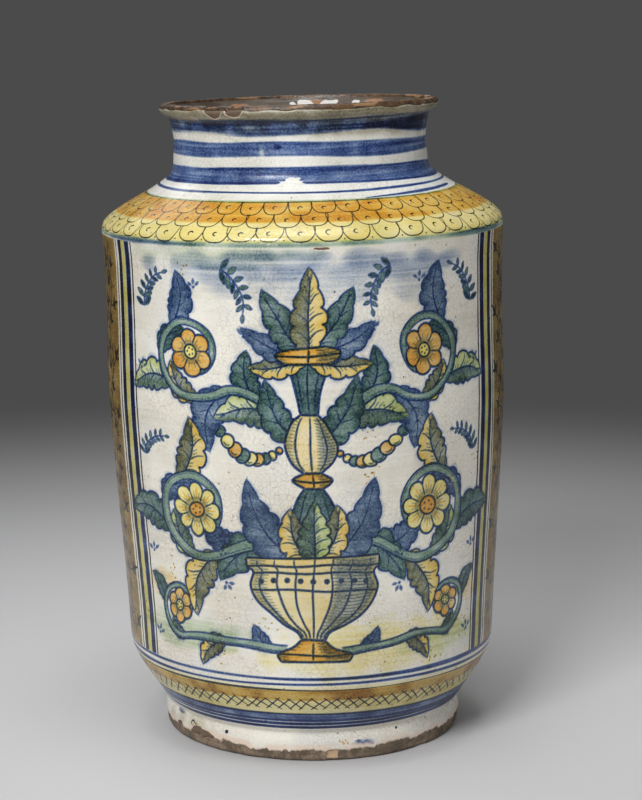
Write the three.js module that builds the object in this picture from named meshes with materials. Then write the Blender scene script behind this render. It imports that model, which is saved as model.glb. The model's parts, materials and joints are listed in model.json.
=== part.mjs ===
// A storage jar of tin-glazed earthenware, thrown on a wheel: a low foot, a splayed heel, a tall wall that
// steps out a little on the way up, a sloping shoulder, a short hollow-sided neck and a turned-out lip.
// The clay is made in the sections that a potter forms, which meet on flat planes, and a coat of glaze lies
// over it outside and another inside. It has no cover, and nothing on it moves.
// Millimetres, +Z up, origin at the centre of the flat underside. The jar leans a little towards -X.
import * as THREE from "three";

// Height of each section, stacked from the underside up
const FOOT_HEIGHT = 14.5;
const HEEL_HEIGHT = 33.5;
const LOWER_WALL_HEIGHT = 80;
const UPPER_WALL_HEIGHT = 129.5;
const SHOULDER_HEIGHT = 20;
const NECK_HEIGHT = 34;
const LIP_HEIGHT = 8.5;

// The clay's three main radii, outside
const FOOT_RADIUS = 75.4; // the foot's bulge
const BODY_RADIUS = 99.5; // the upper wall at its fullest
const NECK_RADIUS = 62.1; // the neck at its narrowest

// How far the rest of the outline stands inside or outside these
const SEAT_INSET = 2.2; // the flat that the jar stands on, inside the foot's bulge
const GROOVE_DEPTH = 1.2; // the groove between foot and heel, inside the foot's bulge
const HEEL_INSET = 7.1; // where the heel has turned upright, inside the body
const LOWER_WALL_INSET = 5.1; // halfway up the lower wall, inside the body
const STEP_INSET = 2.4; // on the step where the two halves of the wall meet
const WAIST_INSET = 0.6; // drawn in a little under the shoulder
const EDGE_OUTSET = 0.3; // the shoulder's edge, outside the body
const NECK_FOOT_OUTSET = 10.5; // where the slope of the shoulder ends, outside the neck
const NECK_TURN_OUTSET = 1; // where the neck has turned upright
const NECK_TOP_OUTSET = 1.9; // under the lip
const LIP_OVERHANG = 7.4; // the lip, outside the neck

// Places on the outline, inside the sections
const FOOT_BULGE_HEIGHT = 6; // the bulge, above the underside
const HEEL_TURN = 14; // the heel's turn upright, down from the heel's top
const HEEL_TURN_RUN = 5.5; // the same turn, across
const FULLEST_RISE = 45; // the wall's fullest place, above the step
const WAIST_DROP = 26; // the wall's waist, below the shoulder's edge
const EDGE_RUN = 2.8; // the rounding of the shoulder's edge, across
const EDGE_RISE = 5.2; // the same rounding, upwards
const NECK_TURN = 9; // the curve from shoulder into neck, up the neck
const NECK_WAIST_DROP = 10.5; // the neck's narrowest place, below the neck's top
const LIP_ROLL = 4.4; // height of the lip's rolled edge
const LIP_ROUND = 2.2; // the rounding of its upper corner
const LIP_UNDERCUT = 0.9; // how far the roll's foot lies inside the lip's radius

// Thickness of the clay
const FLOOR_THICKNESS = 10;
const CORNER_THICKNESS = 8; // where the floor turns up
const FLOOR_TURN = 12; // that turn, across and up
const WALL_THICKNESS = 6.5;
const NECK_THICKNESS = 5.8;
const THROAT_RUN = 8; // the inner curve from shoulder to neck, across
const LIP_LAND = 3; // width of the lip's flat top

// The glaze coats
const GLAZE_THICKNESS = 0.5;
const COAT_GAP = 0.3; // clearance between a coat and the clay
const GLAZE_FOOT_LINE = 6.5; // the outer coat's lower edge, above the underside
const GLAZE_LIP_LINE = 2; // the upper edges of both coats, below the neck's top

// The lean: how far the rim's centre lies from the foot's, and how far the rim is tilted
const LEAN_SHIFT = 6.8;
const LEAN_TILT = THREE.MathUtils.degToRad(1.6);
const LEAN_POWER = 1.3; // the shift grows as this power of the height

const SEGMENTS = 48; // round the jar

// Radii that follow from the main ones
const HEEL_RADIUS = BODY_RADIUS - HEEL_INSET;
const SHOULDER_RADIUS = BODY_RADIUS + EDGE_OUTSET;
const NECK_FOOT_RADIUS = NECK_RADIUS + NECK_FOOT_OUTSET;
const NECK_TURN_RADIUS = NECK_RADIUS + NECK_TURN_OUTSET;
const LIP_RADIUS = NECK_RADIUS + LIP_OVERHANG;

// Heights of the planes where the sections meet
const HEEL_TOP = FOOT_HEIGHT + HEEL_HEIGHT;
const STEP_LEVEL = HEEL_TOP + LOWER_WALL_HEIGHT;
const SHOULDER_EDGE = STEP_LEVEL + UPPER_WALL_HEIGHT;
const NECK_BASE = SHOULDER_EDGE + SHOULDER_HEIGHT;
const NECK_TOP = NECK_BASE + NECK_HEIGHT;
const TOP = NECK_TOP + LIP_HEIGHT;

const CLAY = { color: 0xb98a6a, roughness: 0.85, metalness: 0 };
const PAINTED_GLAZE = { color: 0xd9d6cd, roughness: 0.25, metalness: 0 };
const INNER_GLAZE = { color: 0xb9aa90, roughness: 0.35, metalness: 0 };

const at = (radius, height) => new THREE.Vector2(radius, height);

// The places that a line through two others reaches at a radius, and at a height
function onLineAtRadius(from, to, radius) {
  return at(radius, THREE.MathUtils.mapLinear(radius, from.x, to.x, from.y, to.y));
}

function onLineAtHeight(from, to, height) {
  return at(THREE.MathUtils.mapLinear(height, from.y, to.y, from.x, to.x), height);
}

// Points along a curve, without its first one, which ends the stretch before it
const along = (curve, count) => curve.getPoints(count).slice(1);
const turn = (from, corner, to, count) => along(new THREE.QuadraticBezierCurve(from, corner, to), count);

// The places that shape the upright wall: how high they are, and how far inside the body's radius
const WALL_PLACES = [
  { level: (HEEL_TOP + STEP_LEVEL) / 2, inset: LOWER_WALL_INSET },
  { level: STEP_LEVEL, inset: STEP_INSET },
  { level: STEP_LEVEL + FULLEST_RISE, inset: 0 },
  { level: SHOULDER_EDGE - WAIST_DROP, inset: WAIST_INSET },
];

// The clay's outer outline, climbing from the underside's edge to the edge of the lip's flat top
function outerOutline() {
  const seat = at(FOOT_RADIUS - SEAT_INSET, 0);
  const bulge = at(FOOT_RADIUS, FOOT_BULGE_HEIGHT);
  const groove = at(FOOT_RADIUS - GROOVE_DEPTH, FOOT_HEIGHT);
  const heelTurn = at(HEEL_RADIUS - HEEL_TURN_RUN, HEEL_TOP - HEEL_TURN);
  const heelTop = at(HEEL_RADIUS, HEEL_TOP);
  const edge = at(SHOULDER_RADIUS, SHOULDER_EDGE);
  const wall = [heelTop, ...WALL_PLACES.map(({ level, inset }) => at(BODY_RADIUS - inset, level)), edge];
  const slopeTop = at(SHOULDER_RADIUS - EDGE_RUN, SHOULDER_EDGE + EDGE_RISE);
  const slopeFoot = at(NECK_FOOT_RADIUS, NECK_BASE);
  const neckTurn = at(NECK_TURN_RADIUS, NECK_BASE + NECK_TURN);
  const neckWaist = at(NECK_RADIUS, NECK_TOP - NECK_WAIST_DROP);
  const neckTop = at(NECK_RADIUS + NECK_TOP_OUTSET, NECK_TOP);
  const rollFoot = at(LIP_RADIUS - LIP_UNDERCUT, TOP - LIP_ROLL);
  const rollEdge = at(LIP_RADIUS, TOP - LIP_ROUND);
  return [
    seat,
    ...turn(seat, at(FOOT_RADIUS, 0), bulge, 2),
    ...turn(bulge, at(FOOT_RADIUS, (bulge.y + groove.y) / 2), groove, 2),
    heelTurn,
    ...turn(heelTurn, onLineAtRadius(groove, heelTurn, HEEL_RADIUS), heelTop, 3),
    ...along(new THREE.SplineCurve(wall), 8),
    ...turn(edge, onLineAtRadius(slopeFoot, slopeTop, SHOULDER_RADIUS), slopeTop, 2),
    slopeFoot,
    ...turn(slopeFoot, onLineAtRadius(slopeFoot, slopeTop, NECK_TURN_RADIUS), neckTurn, 3),
    ...along(new THREE.SplineCurve([neckTurn, neckWaist, neckTop]), 4),
    rollFoot,
    rollEdge,
    ...turn(rollEdge, at(LIP_RADIUS, TOP), at(LIP_RADIUS - LIP_ROUND, TOP), 2),
  ];
}

// The clay's inner outline, climbing from the edge of the flat floor to the inner edge of the lip's flat top
function innerOutline(outer) {
  const inside = (height, thickness) => at(radiusAt(outer, height) - thickness, height);
  const wallFoot = inside(HEEL_TOP, WALL_THICKNESS);
  const floorTurn = inside(FLOOR_THICKNESS + FLOOR_TURN, CORNER_THICKNESS);
  const floorEdge = at(floorTurn.x - FLOOR_TURN, FLOOR_THICKNESS);
  const slopeTop = inside(SHOULDER_EDGE, WALL_THICKNESS);
  const outerSlopeTop = at(SHOULDER_RADIUS - EDGE_RUN, SHOULDER_EDGE + EDGE_RISE);
  const slope = at(NECK_FOOT_RADIUS, NECK_BASE).sub(outerSlopeTop);
  const alongSlope = (radius) => onLineAtRadius(slopeTop, slopeTop.clone().add(slope), radius);
  const neckTurn = inside(NECK_BASE + NECK_TURN, NECK_THICKNESS);
  const throat = alongSlope(neckTurn.x + THROAT_RUN);
  const neckTop = inside(NECK_TOP, NECK_THICKNESS);
  const lipTop = at(LIP_RADIUS - LIP_ROUND - LIP_LAND, TOP);
  return [
    floorEdge,
    ...turn(floorEdge, onLineAtHeight(floorTurn, wallFoot, FLOOR_THICKNESS), floorTurn, 2),
    wallFoot,
    ...WALL_PLACES.map(({ level }) => inside(level, WALL_THICKNESS)),
    slopeTop,
    throat,
    ...turn(throat, alongSlope(neckTurn.x), neckTurn, 2),
    inside(NECK_TOP - NECK_WAIST_DROP, NECK_THICKNESS),
    neckTop,
    ...turn(neckTop, at(lipTop.x, (NECK_TOP + TOP) / 2), lipTop, 2),
  ];
}

// The radius of a climbing outline at a height
function radiusAt(outline, height) {
  const above = Math.max(outline.findIndex((point) => point.y >= height), 1);
  return onLineAtHeight(outline[above - 1], outline[above], height).x;
}

// The stretch of a climbing outline between two heights
function stretch(outline, low, high) {
  const least = 0.05; // a point nearer to an end than this is left out
  const between = outline.filter((point) => point.y > low + least && point.y < high - least);
  return [at(radiusAt(outline, low), low), ...between, at(radiusAt(outline, high), high)];
}

// A climbing outline moved square to itself, outwards where the distance is positive
function offset(outline, distance) {
  return outline.map((point, i) => {
    const before = outline[Math.max(i - 1, 0)];
    const after = outline[Math.min(i + 1, outline.length - 1)];
    const climb = after.clone().sub(before).normalize();
    return at(point.x + climb.y * distance, point.y - climb.x * distance);
  });
}

// Leans a geometry made upright: each level shifts sideways and tilts by its height, and stays flat
function lean(geometry) {
  const position = geometry.getAttribute("position");
  for (let i = 0; i < position.count; i++) {
    const x = position.getX(i);
    const z = position.getZ(i);
    const share = Math.max(z, 0) / TOP;
    position.setX(i, x * Math.cos(LEAN_TILT * share) - LEAN_SHIFT * share ** LEAN_POWER);
    position.setZ(i, z + x * Math.sin(LEAN_TILT * share));
  }
  geometry.computeVertexNormals();
  return geometry;
}

// A solid turned round the jar's axis from a closed profile, then leaned with the rest
function turned(name, profile, material) {
  const upright = new THREE.LatheGeometry(profile, SEGMENTS).rotateX(Math.PI / 2);
  const mesh = new THREE.Mesh(lean(upright), new THREE.MeshStandardMaterial(material));
  mesh.name = name;
  return mesh;
}

// A ring between an outer and an inner outline, both climbing
function ring(name, outside, inside, material) {
  return turned(name, [...outside, ...inside.slice().reverse(), outside[0].clone()], material);
}

// The floor slab and the foot, one solid up to the groove
function base(outer, inner) {
  const dish = stretch(inner, FLOOR_THICKNESS, FOOT_HEIGHT).reverse();
  return turned("base", [at(0, 0), ...stretch(outer, 0, FOOT_HEIGHT), ...dish, at(0, FLOOR_THICKNESS)], CLAY);
}

// The inner coat covers the floor too, so its profile starts and ends on the axis
function innerCoat(inner) {
  const upperEdge = NECK_TOP - GLAZE_LIP_LINE;
  const face = (depth) => {
    const level = FLOOR_THICKNESS + depth;
    const raised = offset(inner, -depth).map((point) => at(point.x, Math.max(point.y, level)));
    return [at(0, level), ...stretch(raised, level, upperEdge)];
  };
  const profile = [...face(COAT_GAP), ...face(COAT_GAP + GLAZE_THICKNESS).reverse()];
  return turned("inner_glaze", profile, INNER_GLAZE);
}

function outerCoat(outer) {
  const face = (height) => stretch(offset(outer, height), GLAZE_FOOT_LINE, NECK_TOP - GLAZE_LIP_LINE);
  return ring("outer_glaze", face(COAT_GAP + GLAZE_THICKNESS), face(COAT_GAP), PAINTED_GLAZE);
}

const outer = outerOutline();
const inner = innerOutline(outer);
const clayRing = (name, low, high) => ring(name, stretch(outer, low, high), stretch(inner, low, high), CLAY);

const jar = new THREE.Group();
jar.add(
  base(outer, inner),
  clayRing("heel", FOOT_HEIGHT, HEEL_TOP),
  clayRing("lower_wall", HEEL_TOP, STEP_LEVEL),
  clayRing("upper_wall", STEP_LEVEL, SHOULDER_EDGE),
  clayRing("shoulder", SHOULDER_EDGE, NECK_BASE),
  clayRing("neck", NECK_BASE, NECK_TOP),
  clayRing("lip", NECK_TOP, TOP),
  outerCoat(outer),
  innerCoat(inner),
);

export default jar;
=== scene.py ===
"""The looks of the painted storage jar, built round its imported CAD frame.

Lengths are in millimetres until a mesh is made. A place on the jar is its azimuth in degrees, 0 at the
front and positive to the right, and its height on the jar as it was thrown, before it leaned.
The paint is drawn by code on a grid of rows up the outline and columns round the jar. Each point of the
grid is a vertex of the glaze, and holds how much of each pigment lies there. The nodes turn these amounts
into colour, gloss and relief. Every random field and brush stroke has a fixed seed.
"""

import json
import math

import bpy
import numpy as np
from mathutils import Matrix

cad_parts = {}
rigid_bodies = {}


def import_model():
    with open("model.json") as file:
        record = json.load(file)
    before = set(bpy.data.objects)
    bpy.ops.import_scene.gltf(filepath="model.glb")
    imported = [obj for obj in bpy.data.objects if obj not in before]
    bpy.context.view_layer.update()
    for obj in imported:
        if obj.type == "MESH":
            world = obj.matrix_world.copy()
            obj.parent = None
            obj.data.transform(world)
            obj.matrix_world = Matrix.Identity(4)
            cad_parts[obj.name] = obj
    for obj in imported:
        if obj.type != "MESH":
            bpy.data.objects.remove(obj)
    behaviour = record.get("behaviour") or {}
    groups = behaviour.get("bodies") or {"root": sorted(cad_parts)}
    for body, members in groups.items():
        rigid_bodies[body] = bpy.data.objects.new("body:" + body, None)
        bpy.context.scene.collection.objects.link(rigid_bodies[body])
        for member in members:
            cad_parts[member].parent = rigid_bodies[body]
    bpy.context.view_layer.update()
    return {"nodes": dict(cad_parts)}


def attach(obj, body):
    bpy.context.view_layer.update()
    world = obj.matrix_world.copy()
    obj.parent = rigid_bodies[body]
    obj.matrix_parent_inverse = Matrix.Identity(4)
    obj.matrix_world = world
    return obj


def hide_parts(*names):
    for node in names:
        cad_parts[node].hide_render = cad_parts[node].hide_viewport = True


for leftover in list(bpy.data.objects):
    bpy.data.objects.remove(leftover)
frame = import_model()

MM = 0.001

# The jar's lean, as in the CAD
JAR_HEIGHT = 320.0
LEAN_SHIFT = 6.8
LEAN_TILT = math.radians(1.6)
LEAN_POWER = 1.3

# Outlines. A turn sharper than CORNER keeps the long straights beside it straight.
CORNER = math.radians(25)
STRAIGHT_CUT = 3.0
FINE_STEP = 0.05
AXIS_GAP = 0.6

# The grids of the pieces: columns round the jar, and the steps between rows of glaze, lip and foot
FULL_COLUMNS = 1536
COLUMNS = FULL_COLUMNS
ROW_STEP, LIP_STEP, FOOT_STEP = ((0.42, 0.35, 0.5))

# How the outer glaze turns in behind the part of it that shows
BACK_DEPTH = 0.75
BACK_STEP = 2.5

# The outer glaze: its ends, and the heights beyond which its rows stretch to meet its ragged edges
FOOT_EDGE, GLAZE_TOP = 5.8, 318.0
FOOT_STRETCH, LIP_STRETCH = 14.0, 312.0

# The rim sinks a little towards the back, from this height up
DIP_START = 311.5
RIM_DIP = 2.0

# The lip in the CAD: its flat top lies above LAND, and its inner fall inside MOUTH
LAND = 319.9
MOUTH = 63.9

# The glaze inside, whose upper piece is twice as fine
INSIDE_COLUMNS = 384
INSIDE_STEP = 1.2
INSIDE_SPLIT = 173.0
INSIDE_COAT = 0.35

# The pitch of the marks of turning
WALL_PITCH, INSIDE_PITCH, UNDERSIDE_PITCH = 8.5, 7.0, 3.1

# The map for the bake: the share of hidden rows, the room between strips, and the width without the caps
HIDDEN_SHARE = 0.04
MAP_MARGIN = 0.008
MAP_WIDTH = 0.98
CAP_MIDDLE, CAP_RADIUS = 0.992, 0.006
SHARP_EDGE = math.radians(50)

# The painting. A stroke is laid as dabs a step apart, in groups by their radius between BRUSH_SIZES.
PANEL_MIDDLE = 1.5
WALL_LOW, WALL_HIGH = 48.9, 256.6
WALL_RADIUS = 99.5
SHOULDER_RADIUS = 88
BORDER_EDGE = 55.8
BAND_HALF_WIDTH = 23.2
SCALES_ROUND = 45
CROSSES_ROUND = 98
BRUSH_SIZES = (0, 0.4, 0.8, 1.6, 4)
BRUSH_SOFT = 0.45
BRUSH_STEP = 0.25
SHORTEST_STROKE = 0.05
SCALES_SEED, CROSSES_SEED, SPOTS_SEED, BAND_SEED = 77, 78, 79, 80

PIGMENTS = ("blue", "orange", "yellow", "green", "line", "ochre", "bare", "thin_glaze_and_shade")
CLAY_RINGS = ("heel", "lower_wall", "upper_wall", "shoulder", "neck")


# Outlines

def leaned(x, y, z):
    """Where a point of the upright jar lies on the leaning one."""
    share = np.maximum(z, 0) / JAR_HEIGHT
    tilt = LEAN_TILT * share
    return x * np.cos(tilt) - LEAN_SHIFT * share**LEAN_POWER, y, z + x * np.sin(tilt)


def front_chain(node):
    """A CAD node's outline at the very front as (radius, height) points, walked edge by edge."""
    mesh = frame["nodes"][node].data
    points = np.array([v.co for v in mesh.vertices]) / MM
    front = (abs(points[:, 0] - leaned(0, 0, points[:, 2])[0]) < 0.03) & (points[:, 1] < 0.001)
    # Adding 0.0 turns a rounded -0.0 into 0.0
    rounded = np.round(points[:, 1:] * (-1, 1), 2) + 0.0
    names = {i: tuple(rounded[i].tolist()) for i in np.flatnonzero(front)}
    beside = {}
    for edge in mesh.edges:
        a, b = (names.get(i) for i in edge.vertices)
        if a and b and a != b:
            beside.setdefault(a, set()).add(b)
            beside.setdefault(b, set()).add(a)
    ends = sorted(name for name in beside if len(beside[name]) == 1)
    chain = [ends[0] if ends else min(beside, key=lambda name: (name[1], -name[0]))]
    while True:
        onward = [name for name in sorted(beside[chain[-1]]) if name not in chain]
        if not onward:
            return chain
        chain.append(onward[0])


def lip_outline():
    """The lip in the CAD: its edge upwards from its corner, its flat top inwards, and its fall downwards."""
    chain = sorted(front_chain("lip"), key=lambda p: p[1])
    edge = [p for p in chain if p[0] > MOUTH and p[1] < LAND]
    land = sorted((p for p in chain if p[1] > LAND), key=lambda p: -p[0])
    fall = [p for p in chain[::-1] if p[0] < MOUTH and p[1] < LAND]
    return edge, land, fall


def lengths(steps):
    """The running sum of the steps, from 0."""
    return np.concatenate([[0], np.cumsum(steps)])


def smooth_slopes(t, values):
    """Slopes that keep a cubic through the values from overshooting them."""
    steps = np.diff(values) / np.diff(t)
    slopes = np.zeros_like(values)
    same_way = steps[:-1] * steps[1:] > 0
    before, after = np.diff(t)[:-1], np.diff(t)[1:]
    with np.errstate(divide="ignore", invalid="ignore"):
        blend = 3 * (before + after) / ((2 * after + before) / steps[:-1] + (after + 2 * before) / steps[1:])
    slopes[1:-1] = np.where(same_way, blend, 0)
    slopes[0], slopes[-1] = steps[0], steps[-1]
    return slopes


def with_straights(points):
    """The points, with more of them on each long straight that leaves a corner."""
    points = np.array(points, float)
    runs = np.diff(points, axis=0)
    ways = np.arctan2(runs[:, 1], runs[:, 0])
    turns = abs((np.diff(ways) + math.pi) % (2 * math.pi) - math.pi)
    full = [points[0]]
    for i, run in enumerate(runs):
        corner = max(turns[max(i - 1, 0) : i + 1], default=0) > CORNER
        cuts = int(np.hypot(*run) / STRAIGHT_CUT) if corner else 0
        full += [points[i] + run * (k + 1) / (cuts + 1) for k in range(cuts)] + [points[i + 1]]
    return np.array(full)


def smooth_line(points, step, blur):
    """Rows at an even step along a smooth outline through the points, as [radius, height]."""
    points = with_straights(points)
    t = lengths(np.hypot(*np.diff(points, axis=0).T))
    fine = np.arange(0, t[-1], FINE_STEP)
    at = np.clip(np.searchsorted(t, fine, side="right") - 1, 0, len(t) - 2)
    span = t[at + 1] - t[at]
    u = (fine - t[at]) / span
    reach = int(3 * blur / FINE_STEP)
    kernel = np.exp(-0.5 * (np.arange(-reach, reach + 1) * FINE_STEP / blur) ** 2)
    sides = []
    for values in points.T:
        slopes = smooth_slopes(t, values)
        side = (
            values[at] * (2 * u**3 - 3 * u**2 + 1)
            + slopes[at] * span * (u**3 - 2 * u**2 + u)
            + values[at + 1] * (3 * u**2 - 2 * u**3)
            + slopes[at + 1] * span * (u**3 - u**2)
        )
        ahead = 2 * side[0] - side[reach:0:-1]
        behind = 2 * side[-1] - side[-2 : -reach - 2 : -1]
        sides.append(np.convolve(np.concatenate([ahead, side, behind]), kernel / kernel.sum(), "valid"))
    length = lengths(np.hypot(*np.diff(sides)))
    rows = np.linspace(0, length[-1], int(length[-1] / step) + 1)
    return [np.interp(rows, length, side) for side in sides]


def outline_normals(radius, height):
    """The normal of each row, outward where the outline climbs its outer side."""
    across, up = np.gradient(radius), np.gradient(height)
    size = np.hypot(across, up)
    return up / size, -across / size


def grain(shape, up_size, round_size, seed):
    """A smooth random field with mean 0 and spread 1 that closes round the jar. Sizes are in cells."""
    white = np.random.default_rng(seed).standard_normal(shape)
    up = np.fft.fftfreq(shape[0])[:, None] * up_size
    round_ = np.fft.rfftfreq(shape[1])[None] * round_size
    field = np.fft.irfft2(np.fft.rfft2(white) * np.exp(-2 * math.pi**2 * (up**2 + round_**2)), shape)
    field -= field.mean()
    return (field / field.std()).astype(np.float32)


class Skin:
    """A surface round the jar as a grid: the rows of its outline by columns. level and out are each row's
    height and radius, and per_mm is how many cells its random fields count as a millimetre."""

    def __init__(self, radius, height, columns, per_mm=1.0):
        self.radius, self.height, self.columns, self.per_mm = radius, height, columns, per_mm
        self.out, self.level = radius[:, None], height[:, None]
        self.shape = len(radius), columns
        self.azimuths = np.arange(columns) * 360.0 / columns

    def grain(self, up_size, round_size, seed):
        return grain(self.shape, up_size * self.per_mm, round_size * self.per_mm, seed)

    def round_from(self, azimuth):
        """How far round the jar each point lies from an azimuth."""
        away = (self.azimuths[None] - azimuth + 180) % 360 - 180
        return math.radians(1) * away * self.out

    def spot(self, azimuth, wide, off, uneven, round_power=2, off_power=2):
        """A worn spot, 1 in its middle and 0 outside. wide is its half width, and off is how far each point
        lies from its middle the other way, as a share of its other half size."""
        share = 1 - abs(self.round_from(azimuth) / wide) ** round_power - abs(off) ** off_power
        return np.clip(share + uneven, 0, 1)

    def pushed(self, lift):
        """The radius and height of each point, pushed out of the outline by the lift."""
        out_r, out_z = outline_normals(self.radius, self.height)
        return self.out + out_r[:, None] * lift, self.level + out_z[:, None] * lift


# The paint

class Canvas(Skin):
    """The outer side of the jar, with the amount of each pigment at its points."""

    def __init__(self, radius, height, columns):
        self.row_size = float(np.hypot(np.diff(radius), np.diff(height)).mean())
        super().__init__(radius, height, columns, 1 / self.row_size)
        self.rows = len(radius)
        self.column_sizes = 2 * math.pi * radius / columns
        self.along = np.arange(self.rows) * self.row_size
        self.paint = {pigment: np.zeros(self.shape, np.float32) for pigment in PIGMENTS}
        self.wet = []
        self.seed = 1
        self.streaks = self.grain(0.35, 22, 11)
        self.dapples = self.grain(2.4, 3.2, 12)
        self.clouds = self.grain(14, 16, 13)

    def row(self, height):
        return np.interp(height, self.height, np.arange(self.rows))

    def height_at(self, row):
        return np.interp(row, np.arange(self.rows), self.height)

    def up_to(self, height):
        """How far up the outline a height lies."""
        return self.row(height) * self.row_size

    def cells(self, places):
        """Columns and rows, as fractions, of (azimuth, height) places."""
        places = np.asarray(places, float)
        return places[:, 0] / 360 * self.columns, self.row(places[:, 1])

    def next_seed(self):
        self.seed += 1
        return self.seed

    def round_grain(self, size, seed):
        """A random line round the jar. Its size is in cells of the full grid."""
        return grain((2, self.columns), 0.01, size * self.columns / FULL_COLUMNS, seed)[0]

    def lay(self, pigment, value, where=slice(None)):
        """Lays a pigment wherever it is thicker than what lies there."""
        layer = self.paint[pigment]
        layer[where] = np.maximum(layer[where], value.astype(np.float32))

    def stroke(self, pigment, places, width, amount, taper=1.2):
        """A brush line through the places, thinner at its ends over the length taper."""
        columns, rows = self.cells(places)
        size = float(np.interp(rows.mean(), np.arange(self.rows), self.column_sizes))
        length = lengths(np.hypot(np.diff(columns) * size, np.diff(rows) * self.row_size))
        if length[-1] < SHORTEST_STROKE:
            return
        at = np.linspace(0, length[-1], max(3, int(length[-1] / BRUSH_STEP)))
        widths = np.interp(at, np.linspace(0, length[-1], np.size(width)), np.atleast_1d(width))
        if taper:
            ends = np.minimum(at, length[-1] - at) / min(taper, length[-1] / 2)
            widths = widths * (0.35 + 0.65 * np.clip(ends, 0, 1) ** 0.7)
        hand = np.random.default_rng(self.next_seed())
        swell = 1 + 0.1 * np.interp(at, np.linspace(0, length[-1], 6), hand.standard_normal(6))
        columns, rows = np.interp(at, length, columns), np.interp(at, length, rows)
        self.wet.append((pigment, columns, rows, widths * swell / 2, np.full(len(at), amount) * (2 - swell)))

    def dot(self, pigment, azimuth, height, size, amount):
        """A round dab."""
        columns, rows = self.cells([(azimuth, height)])
        self.wet.append((pigment, columns, rows, np.array([size / 2]), np.array([amount])))

    def dry(self):
        """Lays down the strokes and dabs drawn since the last call."""
        for pigment in PIGMENTS:
            mine = [w[1:] for w in self.wet if w[0] == pigment]
            if not mine:
                continue
            dabs = [np.concatenate(part) for part in zip(*mine, strict=True)]
            for least, most in zip(BRUSH_SIZES, BRUSH_SIZES[1:], strict=False):
                some = (dabs[2] >= least) & (dabs[2] < most)
                if some.any():
                    self.stamp(pigment, *(part[some] for part in dabs))
        self.wet = []

    def stamp(self, pigment, columns, rows, radii, amounts):
        """Lays round dabs of like size."""
        reach = radii.max() + BRUSH_SOFT
        tall = int(reach / self.row_size) + 1
        wide = int(reach / self.column_sizes[int(rows.min()) : int(rows.max()) + 2].min()) + 1
        near_row, near_column = np.rint(rows).astype(int), np.rint(columns).astype(int)
        for row_shift in range(-tall, tall + 1):
            row = np.clip(near_row + row_shift, 0, self.rows - 1)
            up = (row - rows) * self.row_size
            for column_shift in range(-wide, wide + 1):
                column = near_column + column_shift
                away = np.hypot((column - columns) * self.column_sizes[row], up)
                value = amounts * np.clip((radii - away) / BRUSH_SOFT + 0.5, 0, 1)
                np.maximum.at(self.paint[pigment], (row, column % self.columns), value.astype(np.float32))

    def cover(self, places):
        """The cells round a closed outline, whether they lie inside, and how far from it and across it."""
        columns, rows = self.cells(places)
        r0, r1 = max(int(rows.min()) - 2, 0), min(int(rows.max()) + 3, self.rows)
        c0, c1 = int(columns.min()) - 2, int(columns.max()) + 3
        size = self.column_sizes[(r0 + r1) // 2]
        x, y = np.meshgrid(np.arange(c0, c1) * size, np.arange(r0, r1) * self.row_size)
        px, py = columns * size, rows * self.row_size
        inside = np.zeros(x.shape, bool)
        away = np.full(x.shape, 1e9)
        for ax, ay, bx, by in zip(px, py, np.roll(px, -1), np.roll(py, -1), strict=True):
            dx, dy = bx - ax, by - ay
            if dy:
                inside ^= ((ay > y) != (by > y)) & (x < dx * (y - ay) / dy + ax)
            t = np.clip(((x - ax) * dx + (y - ay) * dy) / (dx * dx + dy * dy + 1e-9), 0, 1)
            away = np.minimum(away, np.hypot(x - ax - t * dx, y - ay - t * dy))
        place = np.ix_(np.arange(r0, r1), np.arange(c0, c1) % self.columns)
        return place, inside, away, (x - px.min()) / max(np.ptp(px), 1) - 0.5

    def fill(self, pigment, places, amount=1.0, rim=0.35, spread=0.9, soft=0.5, dapple=0.15, side=0.0):
        """Paint inside a closed outline. rim adds a share within about the spread of the edge, and side adds
        one towards the shape's right."""
        place, inside, away, across = self.cover(places)
        value = amount * (1 + rim * np.exp(-away / spread)) * (1 + side * across)
        value = value * (1 + dapple * self.dapples[place] + 0.5 * dapple * self.streaks[place])
        self.lay(pigment, np.where(inside, value * np.clip(away / soft, 0, 1), 0), place)

    def erase(self, places):
        """Clears the ground inside a closed outline, for a motif that covers what was painted before."""
        self.dry()
        place, inside, away, _ = self.cover(places)
        kept = np.where(inside, 1 - np.clip(away / 0.5, 0, 1), 1).astype(np.float32)
        for layer in self.paint.values():
            layer[place] *= kept

    def ring(self, pigment, low, high, amount, top_amount=None, soft=0.5, waver=0.22, streak=0.16,
             mottle=0.08, sag=0.0):
        """A band painted while the jar turned, from the amount at its lower edge to that at its upper one.
        It hangs lower at the sides by the sag."""
        top_amount = amount if top_amount is None else top_amount
        turn = np.radians(self.azimuths)
        drop = sag * (0.75 * np.sin(turn) ** 2 + 0.25 * np.sin(turn))
        low, high = (
            self.up_to(edge) - drop + waver * self.round_grain(60, self.next_seed()) for edge in (low, high)
        )
        along = self.along[:, None]
        inside = np.clip((along - low) / soft + 0.5, 0, 1) * np.clip((high - along) / soft + 0.5, 0, 1)
        share = np.clip((along - low) / np.maximum(high - low, 0.2), 0, 1)
        uneven = 1 + streak * self.streaks + mottle * self.dapples + 0.5 * mottle * self.clouds
        self.lay(pigment, inside * (amount + (top_amount - amount) * share) * np.clip(uneven, 0.62, 1.6))

    def rub(self, pigment, azimuth, height, wide, tall, kept):
        """Thins a pigment softly round a place, down to the share kept in the middle."""
        up = self.along[:, None] - self.up_to(height)
        near = np.exp(-((self.round_from(azimuth) / wide) ** 2) - (up / tall) ** 2)
        self.paint[pigment] *= (1 - (1 - kept) * near).astype(np.float32)

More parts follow.
